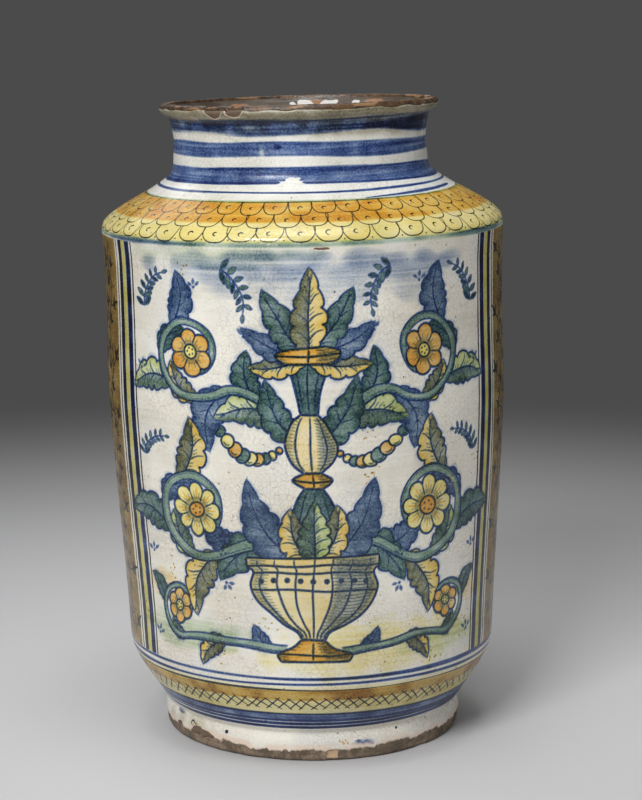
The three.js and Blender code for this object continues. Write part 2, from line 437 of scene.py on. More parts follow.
    def wash(self, pigment, azimuth, height, wide, tall, amount, ragged=0.5):
        """A soft uneven patch, with its half width and half height."""
        up = self.along[:, None] - self.up_to(height)
        share = 1 - (self.round_from(azimuth) / wide) ** 2 - (up / tall) ** 2
        share = share + ragged * (0.3 * self.dapples + 0.25 * self.clouds)
        self.lay(pigment, amount * np.clip(share, 0, 1) ** 0.8 * (1 + 0.25 * self.streaks))

    def upright(self, pigment, left, right, amount):
        """A band painted down the wall between two azimuths."""
        rows = np.arange(int(self.row(WALL_LOW)), int(self.row(WALL_HIGH)) + 1)
        sway = grain((self.rows, 2), 60, 0.01, self.next_seed())[:, 0] * 0.16
        away = abs(self.round_from((left + right) / 2) + sway[:, None])[rows]
        half = math.radians(right - left) / 2 * self.out[rows]
        ends = np.minimum(rows - rows[0], rows[-1] - rows)[:, None] * self.row_size
        value = amount * np.clip((half - away) / 0.5 + 0.5, 0, 1) * np.clip(ends / 0.5, 0, 1)
        self.lay(pigment, value * (1 + 0.12 * self.dapples[rows]), rows)


# Motifs, drawn in millimetres from the middle of a panel and set down at a height

def spline(points, each=14):
    """A smooth line through the points."""
    points = np.asarray(points, float)
    around = np.vstack([2 * points[0] - points[1], points, 2 * points[-1] - points[-2]])
    t = np.linspace(0, 1, each, endpoint=False)[:, None]
    pieces = [
        0.5 * (2 * b + (c - a) * t + (2 * a - 5 * b + 4 * c - d) * t**2 + (3 * b - a - 3 * c + d) * t**3)
        for a, b, c, d in zip(around, around[1:], around[2:], around[3:], strict=False)
    ]
    return np.vstack([*pieces, points[-1:]])


def ray(angle):
    """The way of unit length at an angle in radians, or at each of several."""
    return np.stack([np.cos(angle), np.sin(angle)], -1)


def circle(count):
    return ray(np.linspace(0, 2 * math.pi, count, endpoint=False))


def between(line, other):
    """The closed outline between two lines that run the same way."""
    return np.vstack([line, other[::-1]])


def spiral(start, turns, outer, inner):
    """A volute: start is its first angle in degrees, and turns are negative for clockwise."""
    t = np.linspace(0, 1, 90)
    radius = outer + (inner - outer) * t**0.8
    return radius[:, None] * ray(math.radians(start) + t * turns * 2 * math.pi)


def sides_of(line):
    """The way that a line runs and the way to its left, both at unit length."""
    run = np.gradient(line, axis=0)
    run /= np.linalg.norm(run, axis=1)[:, None] + 1e-9
    return run, np.stack([-run[:, 1], run[:, 0]], -1)


class Panel:
    """A field on the wall with its own middle line. A mirrored panel draws to the other side of it, and
    each has a hand's unevenness of its own."""

    def __init__(self, canvas, azimuth, mirror=1):
        self.canvas, self.azimuth, self.mirror = canvas, azimuth, mirror
        self.hand = math.radians(azimuth) * 2 + mirror

    def places(self, points):
        u, z = np.asarray(points, float).T
        sway = 0.9 * np.sin(u / 13 + z / 19 + self.hand) + 0.35 * np.sin(u / 4.1 - z / 5.3 + 3 * self.hand)
        lift = 0.9 * np.sin(u / 17 - z / 15 + 2 * self.hand) + 0.35 * np.sin(u / 5.2 + z / 4.3 + self.hand)
        azimuths = self.azimuth + self.mirror * np.degrees((u + sway) / WALL_RADIUS)
        return np.stack([azimuths, z + lift], -1)

    def stroke(self, pigment, points, width, amount, taper=1.2):
        self.canvas.stroke(pigment, self.places(points), width, amount, taper)

    def pen(self, points, width, amount, taper=1.2):
        """A blue line."""
        self.stroke("blue", points, width, amount, taper)

    def loop(self, outline, width, amount=1.9):
        """A blue line round a closed outline."""
        self.pen(np.vstack([outline, outline[:1]]), width, amount, taper=0)

    def fill(self, pigment, points, amount, side=0.0, **how):
        self.canvas.fill(pigment, self.places(points), amount, side=side * self.mirror, **how)

    def erase(self, points):
        self.canvas.erase(self.places(points))

    def dot(self, pigment, point, size, amount):
        self.canvas.dot(pigment, *self.places([point])[0], size, amount)


LEAF_WASHES = (
    (("green", 1.5), ("blue", 0.8)),
    (("blue", 1.25), ("green", 0.4)),
    (("yellow", 0.9), ("ochre", 0.45)),
    (("green", 0.8), ("yellow", 0.6)),
)
LEAF_END = 79
LOBE_POWER = 0.92


def leaf(panel, root, tip, width, bend, lobes, washes):
    """A lobed leaf along a bent midrib: washed, shaded on one side, hatched, outlined and veined. washes is
    its number in LEAF_WASHES."""
    root, tip = np.array(root, float), np.array(tip, float)
    t = np.linspace(0, 1, LEAF_END + 1)[:, None]
    size = np.linalg.norm(tip - root)
    across = np.array([-(tip - root)[1], (tip - root)[0]]) / size
    midrib = root + (tip - root) * t + across * bend * np.sin(math.pi * t)
    run, out = sides_of(midrib)
    saw = (lobes * t**LOBE_POWER) % 1
    scallop = 0.6 + 0.46 * np.sqrt(np.clip(1 - (1.7 * saw - 0.75) ** 2, 0, 1))
    half = width / 2 * np.sin(math.pi * t**0.78) ** 0.8 * scallop
    sides = midrib + out * half, midrib - out * half
    halo = out * (half + 2.4)
    panel.fill("blue", between(midrib + halo, midrib - halo), 0.34, rim=0, soft=2.6)
    panel.erase(between(*sides))
    for pigment, amount in LEAF_WASHES[washes]:
        panel.fill(pigment, between(*sides), amount * 0.62, rim=1.15, spread=2.0)
    dark = int(bend > 0)
    panel.fill("blue", between(midrib, sides[dark]), 0.55, rim=0.9, spread=1.6)
    for line in sides:
        panel.pen(line, (0.6, 0.95, 0.6), 2.2, taper=2)
    panel.pen(midrib[:72], (1.1, 0.9, 0.5), 2.2)
    for k in range(lobes):
        start = int(((k + 0.15) / lobes) ** (1 / LOBE_POWER) * LEAF_END)
        end = min(int(((k + 0.72) / lobes) ** (1 / LOBE_POWER) * LEAF_END), LEAF_END - 3)
        for side, way in enumerate((1, -1)):
            to = midrib[end] + way * out[end] * half[end] * 0.82
            knee = (midrib[start] * 0.5 + to * 0.5) + run[start] * size * 0.03
            panel.pen(spline([midrib[start], knee, to], 8), (0.8, 0.4), 1.7)
            hatches, reach = (6, 0.62) if side == dark else (3, 0.34)
            for j in range(hatches):
                at = min(start + int((j + 1) * LEAF_END / lobes / (hatches + 1)), LEAF_END - 1)
                foot = midrib[at] + way * out[at] * half[at] * 0.08
                head = midrib[at] + way * out[at] * half[at] * reach + run[at] * size * 0.05
                panel.pen([foot, head], (0.5, 0.35), 1.1, taper=0.5)


def rosette(panel, middle, radius, petals, petal, heart, turn):
    """An open flower with rounded petals round a heart."""
    middle = np.array(middle, float)
    rays = circle(160)
    angle = np.linspace(0, 2 * math.pi, 160, endpoint=False)
    edge = radius * (0.74 + 0.26 * abs(np.cos(petals * (angle - turn) / 2)) ** 0.6)
    outline = middle + rays * edge[:, None]
    panel.erase(outline)
    panel.fill(petal[0], outline, petal[1] * 0.8, rim=0.7, spread=1.6)
    panel.fill("orange", middle + rays * radius * 0.6, 0.35, rim=0, soft=3)
    panel.fill("blue", middle + rays * radius * 0.52, 0.3, rim=0.2)
    panel.loop(outline, 1.0)
    for k in range(petals):
        out = ray(turn + (k + 0.5) * 2 * math.pi / petals) * radius
        panel.pen([middle + out * 0.36, middle + out * 0.78], (0.9, 0.5), 1.7)
        for lean, pigment, width, reach in (
            (-0.5, "blue", (0.5, 0.35), 0.66),
            (0, heart[0], (1.2, 0.5), 0.8),
            (0.5, "blue", (0.5, 0.35), 0.66),
        ):
            out = ray(turn + (k + lean * 0.45) * 2 * math.pi / petals) * radius
            panel.stroke(pigment, [middle + out * 0.4, middle + out * reach], width, 0.9)
    inner = middle + rays * radius * 0.3
    panel.erase(inner)
    panel.fill(heart[0], inner, heart[1])
    panel.loop(inner, 0.9)
    for k in range(5):
        panel.dot("blue", middle + radius * 0.15 * ray(k * 1.257), 0.9, 1.6)


def scroll_line(start, heading, middle, radius, entry, turns):
    """A stalk's line from a start into a volute round a middle, entered at an angle in degrees."""
    start, middle = np.array(start, float), np.array(middle, float)
    t = np.linspace(0, 1, 110)
    angle = math.radians(entry) + t * turns * 2 * math.pi
    curl = middle + (radius * (1 - 0.66 * t**0.85))[:, None] * ray(angle)
    way = math.copysign(1, turns) * ray(angle[0] + math.pi / 2)
    reach = np.linalg.norm(curl[0] - start) * 0.42
    a, b, c, d = start, start + np.array(heading) * reach, curl[0] - way * reach, curl[0]
    t = np.linspace(0, 1, 60, endpoint=False)[:, None]
    return np.vstack([a * (1 - t) ** 3 + 3 * b * t * (1 - t) ** 2 + 3 * c * t**2 * (1 - t) + d * t**3, curl])


def vine(panel, points, width, leaves, size, first_side, washes):
    """A stalk with leaves that spring from both its sides, laid down from its far end backwards."""
    run, out = sides_of(points)
    length = lengths(np.linalg.norm(np.diff(points, axis=0), axis=1))
    sprung = []
    for k, share in enumerate(np.linspace(0.08, 0.66, leaves)):
        at = int(np.interp(share * length[-1], length, np.arange(len(points))))
        side = first_side * (-1) ** k
        way = run[at] * math.cos(0.85) + side * out[at] * math.sin(0.85)
        root = points[at] - way * width * 0.2
        reach = size * (1.05 - 0.3 * share) * (1.12 if side < 0 else 0.82)
        bend = side * reach * -0.16
        sprung.append((root, root + way * reach, reach * 0.5, bend, 5 if reach > 18 else 4, (k + washes) % 4))
    for each in reversed(sprung):
        leaf(panel, *each)
    half = np.linspace(width, width * 0.5, len(points))[:, None] / 2
    outline = between(points + out * half, points - out * half)
    panel.erase(outline)
    panel.fill("green", outline, 0.9, rim=0.2)
    panel.fill("blue", outline, 0.3, rim=0.2)
    panel.pen(points - out * half, (1.2, 0.8), 1.9)
    panel.pen(points + out * half, (0.8, 0.6), 1.9)
    panel.pen(points - out * half * 0.45, (0.9, 0.5), 0.9)


def spray(panel, root, way, size):
    """A small bowed twig with a few leaves, growing from its root along a way given in degrees."""
    turn = np.radians(way) + 1.4 * np.linspace(0, 1, 7)
    line = np.array(root) + np.cumsum(ray(turn) * size / 6, axis=0)
    panel.pen(spline(line, 8), (1.0, 0.6), 1.7)
    for k in range(7):
        for side in (1, -1) if k < 6 else (0,):
            out = ray(turn[k] + side * 0.95)
            reach = size * (0.27 - 0.02 * k)
            across = np.array([-out[1], out[0]]) * reach * 0.2
            heart = line[k] + out * reach * 0.5
            shape = spline([line[k], heart + across, line[k] + out * reach, heart - across, line[k]], 6)
            panel.fill("green", shape, 1.3, rim=0.3)
            panel.fill("blue", shape, (0.5, 1.1)[(k + side) % 2], rim=0.3)
            panel.pen(shape, 0.5, 1.9, taper=0)


def sprig(panel, middle, turn):
    """Small dabs round a dot, as potters fill an empty ground."""
    for lean in (-55, 0, 55):
        out = ray(turn + math.radians(90 + lean)) * 4.6
        panel.pen([middle + out * 0.25, middle + out], (0.6, 1.7, 0.5), 1.2)
    panel.dot("blue", middle, 1.4, 1.6)


def turned(panel, profile, washes, dark=0.75, flutes=0, bands=()):
    """A turned shape seen from the side, from its outline's (half width, height) points: washed, shaded
    towards its right with hatching, fluted and banded."""
    side = spline(profile, 8)
    left = side * (-1, 1)
    outline = between(side, left)
    panel.erase(outline)
    for pigment, amount in washes:
        panel.fill(pigment, outline, amount * 0.75, rim=0.9, spread=3.0)
    panel.fill("blue", between(side, side * (0.3, 1)), dark * 0.6, rim=1.3, spread=2.5, soft=2.5)
    panel.fill("blue", between(left, left * (0.75, 1)), dark * 0.3, rim=1.0, spread=1.5, soft=1.5)
    order = np.argsort(side[:, 1])
    radii, levels = side[order].T
    for level in np.arange(levels[0] + 1.2, levels[-1] - 0.6, 1.5):
        reach = np.interp(level, levels, radii)
        line = spline([(reach * 0.28, level - 0.3), (reach * 0.62, level - 0.7), (reach * 0.94, level)], 6)
        panel.pen(line, (0.35, 0.7), 1.3, taper=0.6)
        line = spline([(-reach * 0.94, level), (-reach * 0.7, level - 0.4)], 4)
        panel.pen(line, (0.6, 0.35), 0.9, taper=0.5)
    for k in range(-flutes, flutes + 1):
        panel.pen(side[2:-2] * (k / (flutes + 0.6), 1), (0.8, 1.0, 0.6), 1.9)
    for level in bands:
        reach = np.interp(level, levels, radii)
        panel.pen(spline([(-reach, level), (0, level - 0.5), (reach, level)], 8), 1.0, 2.0, taper=0)
    for line in (side, left, [left[0], side[0]], [left[-1], side[-1]]):
        panel.pen(line, 1.1, 2.2, taper=1)


def palmette(panel, root, size):
    """A fan of seven leaves, the outer ones behind."""
    for k in (-3, 3, -2, 2, -1, 1, 0):
        turn = k / 6 * math.radians(190)
        reach = size * (1.0 - 0.32 * abs(turn) / math.radians(95))
        tip = np.array(root) + reach * ray(turn)[::-1]
        leaf(panel, root, tip, reach * 0.36, -turn * reach * 0.06, 5, (2, 0, 1, 2)[abs(k)])


def festoon(panel, start, end, sag):
    """A string of round fruits that hangs between two points."""
    start, end = np.array(start, float), np.array(end, float)
    rays = circle(30)
    fruits = ((("orange", 1.0),), (("yellow", 1.1),), (("green", 1.2), ("blue", 0.6)))
    for k in range(11):
        share = k / 10
        middle = start + (end - start) * share - (0, sag * 4 * share * (1 - share))
        size = 1.7 + 1.9 * math.sin(math.pi * share)
        outline = middle + rays * size
        panel.erase(outline)
        for pigment, amount in fruits[k % 3]:
            panel.fill(pigment, outline, amount * 0.8, rim=0.8, spread=1.2, side=0.7)
        panel.pen(middle + rays[20:30] * size * 0.6, 0.7, 1.4)
        panel.loop(outline, 0.85, 2.1)


PALE = (("yellow", 0.45), ("ochre", 0.3))
DARK = (("green", 1.2), ("blue", 0.8))
GOLD = (("orange", 0.95), ("yellow", 0.5))
SCROLLS = (
    # the stalk's start and heading, and the volute's middle, radius, entry and turns; the stalk's width, and
    # its leaves, their size, first side and first washes; the rosette's radius, petals, colours and turn
    (
        ((14, 62), (1, 0.0), (75, 79), 15, 262, 1.1),
        (4.0, 4, 18, 1, 1),
        (8.5, 6, ("orange", 0.9), ("yellow", 1.2), 0.5),
    ),
    (
        ((5, 166), (0.72, 0.7), (58, 206), 24, 236, 1.2),
        (5.0, 7, 30, -1, 3),
        (12, 6, ("orange", 1.0), ("yellow", 1.3), 0.4),
    ),
    (
        ((6, 108), (0.66, 0.75), (60, 130), 26, 240, 1.2),
        (6.0, 7, 33, -1, 0),
        (14, 8, ("yellow", 1.0), ("orange", 1.3), 0.0),
    ),
)
SIDE_LEAVES = (
    # root, tip, width, bend, lobes, washes
    ((4, 106), (31, 146), 19, -7, 6, 1),
    ((3, 164), (22, 196), 15, -5, 5, 0),
)
MIDDLE_LEAVES = (
    ((0, 104), (11.55, 134), 15, -4, 5, 2),
    ((0, 104), (-11.55, 134), 15, 4, 5, 2),
    ((0, 103), (0, 137), 15, 0, 6, 3),
)
STALK = (
    # outline, washes, shade, flutes, bands
    ([(4, 106), (8, 112), (12, 124), (9, 136), (4.5, 143)], DARK, 0.9, 1),
    ([(4, 143), (9, 146), (9, 148), (4, 151)], GOLD, 0.75, 0, [147]),
    ([(4, 151), (10.5, 156), (13, 164), (9, 173), (4, 178)], PALE, 0.6, 1),
    ([(4, 178), (5, 186), (8, 196), (10.5, 203)], DARK, 0.9, 1),
)
STALK_TOP = ([(10.5, 201), (14, 204), (14, 207), (8, 209)], GOLD, 0.75, 0, [205.5])
URN_LEVEL, URN_SIZE = 57, 1.22
URN_BOWL = np.array([(5, 9), (7, 12), (13, 15), (22, 22), (26, 30), (24.5, 36), (27, 38.5), (27, 42)])
URN_FOOT = np.array([(15, 0), (15.5, 3), (9, 5.5), (5, 9)])
SPRAYS = (
    # root, way in degrees, size
    ((45, 247), 195, 25),
    ((88, 222), 80, 24),
    ((93, 150), 100, 21),
)
SPRIGS = (
    # middle, turn
    ((92, 196), 0.2),
    ((93, 104), 0),
    ((93, 62), 0.2),
    ((30, 216), 0.3),
    ((44, 94), 2.6),
    ((92, 118), 0),
    ((56, 238), 0),
    ((46, 108), 0.3),
)


def urn(panel):
    """A footed bowl seen from the side."""
    foot = (0, URN_LEVEL)
    bands = [URN_LEVEL + URN_SIZE * z for z in (28.5, 35.5, 38.5)]
    turned(panel, URN_BOWL * URN_SIZE + foot, PALE, 0.7, 3, bands)
    turned(panel, URN_FOOT * URN_SIZE + foot, GOLD, 0.7, 0, [URN_LEVEL + 3 * URN_SIZE])
    for k in range(-4, 5):
        panel.dot("blue", (k * 5.2 * URN_SIZE, URN_LEVEL + 32 * URN_SIZE), 2.2 * URN_SIZE, 1.8)


def knop(panel, level, wide, tall):
    """A turned bulge on the middle stalk."""
    turn = np.linspace(-0.48, 0.48, 7) * math.pi
    turned(panel, (0, level) + (wide / 2, tall / 2) * ray(turn), GOLD, 0.6)


def candelabra(canvas, azimuth, grand):
    """A traditional panel of symmetrical foliage: a turned stalk, volutes, leaves and rosettes. The grand
    one has an urn and festoons too."""
    whole = Panel(canvas, azimuth)
    halves = [Panel(canvas, azimuth, mirror) for mirror in (1, -1)]
    for half in halves:
        if grand:
            festoon(half, (14, 160), (52, 181), 13)
        for stalk, foliage, flower in SCROLLS:
            vine(half, scroll_line(*stalk), *foliage)
            rosette(half, stalk[2], *flower)
        for each in SIDE_LEAVES:
            leaf(half, *each)
    for shape in STALK:
        turned(whole, *shape)
    for each in MIDDLE_LEAVES:
        leaf(whole, *each)
    palmette(whole, (0, 204), 44)
    turned(whole, *STALK_TOP)
    if grand:
        urn(whole)
    else:
        palmette(whole, (0, 64), 46)
        knop(whole, 62, 22, 12)
    for half in halves:
        for each in SPRAYS:
            spray(half, *each)
        for each in SPRIGS:
            sprig(half, *each)


def dark_leaf(panel, root, way, size):
    """A small leaf of three thick brush strokes, growing from its root along a way given in radians."""
    for turn, reach, wide in ((0, 1.0, 0.34), (0.85, 0.66, 0.26), (-0.85, 0.66, 0.26)):
        out = ray(way + turn) * size * reach
        start = root + size * 0.3 * ray(way)
        line = [start if turn else root, start + out * 0.45, start + out]
        panel.stroke("line", line, (0.5, wide * size, 0.5), 1.0, taper=0.6)


def side_band(canvas, azimuth):
    """An ochre band with dark waving stalks, their leaves and curls, between a pair of striped borders."""
    for pigment, amount in (("ochre", 1.25), ("green", 0.4), ("thin_glaze_and_shade", 0.42)):
        canvas.upright(pigment, azimuth - BAND_HALF_WIDTH, azimuth + BAND_HALF_WIDTH, amount)
    panel = Panel(canvas, azimuth)
    hand = np.random.default_rng(BAND_SEED + int(azimuth))
    lane, reach, period = 9.4, 3.2, 34.0
    level = np.arange(WALL_LOW + 2, WALL_HIGH - 1, 1.0)
    for side in (-3, -1, 1, 3):
        shift = side * 1.1
        turns = level / period * 2 * math.pi + shift
        panel.stroke("line", np.stack([side * lane + reach * np.sin(turns), level], -1), 0.95, 0.9, taper=2)
        way_out = 1
        at = WALL_LOW + 5 + 3 * hand.random()
        while at < WALL_HIGH - 7:
            turn = at / period * 2 * math.pi + shift
            root = side * lane + reach * math.sin(turn), at
            slope = math.atan2(1, reach * 2 * math.pi / period * math.cos(turn))
            lean = slope - way_out * (0.95 + 0.15 * hand.normal())
            size = 7.4 + 0.7 * hand.normal()
            twig = root + ray(lean) * size * 0.45
            panel.stroke("line", [root, twig], (0.9, 0.6), 0.9, taper=0.3)
            dark_leaf(panel, twig, lean + way_out * 0.3, size)
            curl = spiral(math.degrees(slope + way_out * 1.2), way_out * 0.8, 1.7, 0.5)
            panel.stroke("line", curl + root + (way_out * -2.6, 2.4), (0.5, 0.8), 0.8, taper=0.4)
            way_out = -way_out
            at += 7.6 + 0.6 * hand.normal()


STRIPES = (
    # pigment, inner and outer edge in degrees from the border's start, amount
    ("line", 0.0, 0.6, 0.9),
    ("blue", 1.4, 3.7, 2.5),
    ("line", 1.5, 3.6, 0.38),
    ("yellow", 3.9, 6.1, 1.15),
    ("green", 3.9, 6.1, 0.25),
    ("thin_glaze_and_shade", 3.9, 6.1, 0.12),
    ("line", 6.2, 8.2, 0.85),
    ("blue", 6.2, 8.2, 1.0),
    ("line", 9.3, 10.0, 0.7),
)


def borders(canvas, azimuth):
    """The stripes at both sides of a panel."""
    for pigment, inner, outer, amount in STRIPES:
        inner, outer = BORDER_EDGE + inner, BORDER_EDGE + outer
        canvas.upright(pigment, azimuth + inner, azimuth + outer, amount)
        canvas.upright(pigment, azimuth - outer, azimuth - inner, amount)


def scales(canvas, top, tips):
    """Rows of fish scales round the shoulder, each with a curled tick, and a dot between two lowest tips."""
    pitch = 360.0 / SCALES_ROUND
    levels = canvas.row((top, *tips))
    unit = 1 / canvas.row_size
    hand = np.random.default_rng(SCALES_SEED)
    t = np.linspace(0, math.pi, 26)
    across = np.sign(np.cos(t)) * abs(np.cos(t)) ** 0.72
    for k in range(len(tips)):
        for i in range(SCALES_ROUND):
            middle = (i + 0.5 * (k % 2)) * pitch + hand.normal(0, 0.3)
            half = pitch / 2 * (1 + hand.normal(0, 0.03))
            depth = (levels[k] - levels[k + 1]) * (1 + hand.normal(0, 0.035))
            rows = levels[k] - depth * np.sin(t) ** 0.85
            places = np.stack([middle - half * across, canvas.height_at(rows)], -1)
            canvas.stroke("line", places, (0.5, 0.72, 0.5), 0.66, taper=0)
            curl = (np.linspace(0.2, 1.5, 12) + hand.normal(0, 0.1)) * math.pi
            size = 1.05 + hand.normal(0, 0.14)
            centre = levels[k] - depth * (0.47 + hand.normal(0, 0.05))
            columns = middle + math.degrees(size / SHOULDER_RADIUS) * np.cos(curl)
            places = np.stack([columns, canvas.height_at(centre + size * unit * np.sin(curl))], -1)
            canvas.stroke("line", places, (0.4, 0.8, 0.6, 0.4), 0.8, taper=0.2)
            if k == len(tips) - 1:
                canvas.dot("line", middle + pitch / 2, canvas.height_at(levels[-1] + 0.8 * unit), 0.8, 0.7)


def crosses(canvas, low, high):
    """A row of long crossed strokes round the heel."""
    pitch = 360.0 / CROSSES_ROUND
    hand = np.random.default_rng(CROSSES_SEED)
    for i in range(CROSSES_ROUND):
        for a, b in ((low, high), (high, low)):
            start = i * pitch + hand.normal(0, 0.25)
            reach = pitch * (1.36 + hand.normal(0, 0.1))
            ends = a + hand.normal(0, 0.3), b + hand.normal(0, 0.3)
            middle = sum(ends) / 2 + hand.normal(0, 0.25)
            places = spline([(start, ends[0]), (start + reach / 2, middle), (start + reach, ends[1])], 6)
            canvas.stroke("line", places, (0.6, 0.75, 0.5), 0.85, taper=0.6)


def patch(azimuth, height, wide, tall, seed):
    """A closed ragged outline round a place, with its half width in degrees and its half height."""
    reach = 1 + 0.16 * np.random.default_rng(seed).standard_normal(24)
    return (azimuth, height) + (wide, tall) * reach[:, None] * circle(24)


# Rings as pigment, lower and upper height, amount at the lower edge, and what else they have. Those of the
# neck hang lower at the sides.
NECK_SAG = 1.6
NECK_RINGS = (
    ("thin_glaze_and_shade", 312.0, 319.5, 0.85, dict(top_amount=1.0, soft=2.2, waver=0.5)),
    ("thin_glaze_and_shade", 304.6, 313.2, 0.12, dict(top_amount=0.7, soft=2.0, waver=0.8, mottle=0.5, sag=NECK_SAG)),
    ("blue", 306.3, 313.2, 2.2,
     dict(top_amount=1.3, soft=1.6, waver=0.7, streak=0.26, mottle=0.1, sag=NECK_SAG)),
)
LOWER_NECK_RINGS = (
    ("blue", 295.4, 302.0, 1.15,
     dict(top_amount=1.4, soft=0.8, waver=0.45, streak=0.2, mottle=0.1, sag=NECK_SAG)),
    ("blue", 282.7, 290.0, 0.95,
     dict(top_amount=1.3, soft=0.7, waver=0.4, streak=0.2, mottle=0.1, sag=NECK_SAG)),
    ("blue", 289.2, 290.2, 2.0, dict(soft=0.6, waver=0.3, sag=NECK_SAG)),
    ("blue", 282.4, 283.4, 1.9, dict(waver=0.3, sag=NECK_SAG)),
    ("blue", 278.6, 279.4, 1.9, dict(sag=-1.2)),
)
SHOULDER_RINGS = (
    ("orange", 267.0, 275.3, 0.85, dict(top_amount=0.95, soft=1.4, waver=0.35, streak=0.08, mottle=0.2)),
    ("yellow", 258.4, 275.3, 1.0, dict(top_amount=0.9, soft=0.8, waver=0.2, streak=0.05)),
    ("green", 274.9, 275.8, 0.7, dict(soft=0.6)),
    ("line", 275.1, 275.6, 0.36, {}),
)
SHOULDER_EDGE_RINGS = (
    ("green", 256.8, 258.8, 0.75, dict(top_amount=0.65, soft=1.0, mottle=0.2)),
    ("blue", 257.0, 258.5, 0.28, dict(top_amount=0.22, soft=1.0, mottle=0.5)),
)
HEEL_RINGS = (
    ("blue", 46.9, 48.3, 2.3, {}),
    ("blue", 43.9, 45.1, 2.1, {}),
    ("yellow", 40.8, 43.8, 0.35, {}),
    ("line", 41.0, 41.8, 0.75, {}),
    ("orange", 35.2, 41.2, 0.75, dict(top_amount=0.85, soft=0.9, mottle=0.25)),
    # These two rings are painted shade: they darken the heel, which faces down.
    ("thin_glaze_and_shade", 35.2, 41.2, 0.42, dict(soft=0.9, mottle=0.5)),
    ("thin_glaze_and_shade", 26.9, 35.2, 0.12, dict(soft=0.9, mottle=0.5)),
    ("yellow", 26.9, 41.2, 0.85, {}),
)
LOWER_HEEL_RINGS = (
    ("blue", 21.8, 27.1, 1.3, dict(top_amount=1.0, soft=0.6, mottle=0.2)),
    ("blue", 26.2, 27.3, 2.2, {}),
    ("blue", 21.8, 23.3, 2.6, {}),
    ("blue", 20.0, 21.3, 2.5, {}),
    ("blue", 17.7, 19.2, 2.6, {}),
)
NECK_RUBS = (
    # azimuth, height, half width, half height, share kept
    (-46, 306.4, 34, 1.5, 0.1),
    (-21, 309.4, 4.5, 1.6, 0.35),
    (40, 311.0, 14, 1.4, 0.5),
    (-62, 310.6, 9, 1.5, 0.5),
)
GROUND_WASHES = (
    # pigment, degrees from the panel's middle, height, half width, half height, amount, raggedness
    ("blue", 0, 246.5, 92, 8.5, 0.45, 0.8),
    ("blue", 8, 236, 60, 8, 0.2, 1.0),
    ("green", -26, 252, 60, 6, 0.3, 0.9),
    ("yellow", 18, 62, 70, 15, 0.6, 0.9),
    ("green", -40, 66, 40, 9, 0.55, 0.8),
    ("green", 46, 60, 34, 8, 0.4, 0.9),
    ("orange", 52, 84, 14, 9, 0.4, 0.8),
    ("orange", -50, 88, 13, 8, 0.35, 0.8),
)


def rings(canvas, table):
    for pigment, low, high, amount, rest in table:
        canvas.ring(pigment, low, high, amount, **rest)


def paint_neck(canvas):
    """Blue rings on white, and the thin olive glaze under the lip."""
    rings(canvas, NECK_RINGS)
    for rub in NECK_RUBS:
        canvas.rub("blue", *rub)
    rings(canvas, LOWER_NECK_RINGS)
    canvas.stroke("blue", [(24, 275.9), (34, 276.3), (50, 276.7), (76, 277.2)], (0.7, 1.8, 1.4), 1.9, taper=5)
    canvas.dot("line", -3.0, 277.0, 0.9, 0.6)
    canvas.wash("blue", -8.9, 300.2, 3.0, 1.6, 3.4)
    # White where the blue is cleared in a small ragged patch at the neck's foot: partly missing paint, partly
    # a painted highlight
    canvas.erase(patch(-3.1, 283.4, 5.2, 2.6, 9))
    canvas.rub("blue", -16.1, 297.4, 1.5, 3.0, 0.2)


def paint_shoulder(canvas):
    """Orange over yellow in rings under the drawn scales."""
    rings(canvas, SHOULDER_RINGS)
    scales(canvas, 275.3, (270.3, 265.1, 259.1))
    rings(canvas, SHOULDER_EDGE_RINGS)
    canvas.wash("blue", -52, 257.6, 44, 1.6, 0.8)
    canvas.wash("blue", 62, 257.6, 40, 1.6, 0.7)


def paint_heel(canvas):
    """Rings and a row of crosses between the wall and the foot, and painted shade that darkens the heel."""
    rings(canvas, HEEL_RINGS)
    crosses(canvas, 29.8, 36.7)
    rings(canvas, LOWER_HEEL_RINGS)


def paint_marks(canvas):
    """Small marks of making and wear on the foot, the shoulder's edge and under the lip."""
    panel = Panel(canvas, -52.2)
    panel.stroke("line", spiral(20, 1.0, 1.6, 0.8) * (1.2, 1.1) + (0, 10.6), (0.9, 0.5), 0.8)
    panel.stroke("line", spline([(2, 11.5), (8, 8.8), (13, 6.6)]), (0.7, 1.3, 0.6), 0.55)
    panel.stroke("ochre", spline([(2, 12.0), (8, 9.6), (15, 7.0)]), (0.8, 1.5, 0.8), 1.0)
    canvas.wash("blue", -62, 13.5, 4, 1.6, 0.7)
    canvas.dot("line", -33.9, 11.1, 2.0, 0.9)
    canvas.dot("line", 33.7, 13.2, 1.4, 0.8)
    for azimuth, height, reach in ((17.6, 9.9, 1.2), (19.2, 8.8, 2.6), (21.0, 9.2, 1.6), (22.4, 8.3, 1.4)):
        dash = [(azimuth - reach, height), (azimuth + reach, height - 0.2)]
        canvas.stroke("blue", dash, (0.6, 1.1, 0.4), 1.5)
    canvas.wash("blue", 19.8, 8.9, 6, 1.8, 0.6)
    for place in ((10.3, 10.4), (11.4, 9.9), (12.6, 10.7), (11.9, 9.0), (13.4, 9.4)):
        canvas.dot("line", *place, 0.6, 0.5)
        canvas.dot("ochre", *place, 0.8, 1.4)
    canvas.ring("bare", 4.4, 11.0, 0.44, 0.0, soft=1.6, waver=0.6, streak=0.2, mottle=0.5)
    canvas.wash("thin_glaze_and_shade", -58, 9.5, 20, 6, 0.3, ragged=0.9)
    canvas.wash("bare", -47, 6.2, 9, 3.0, 1.0, ragged=1.6)
    canvas.wash("bare", -60, 6.6, 7, 2.6, 1.0, ragged=1.6)
    canvas.fill("bare", patch(5.6, 255.7, 2.7, 0.9, 5), rim=0)
    for outline in LIP_BREAKS:
        middle = np.mean(outline, axis=0)
        canvas.fill("bare", middle + (np.array(outline) - middle) * (1.14, 1.16), 0.26, rim=0, dapple=0.5)
        canvas.fill("bare", spline([*outline, outline[0]], 4), rim=0)


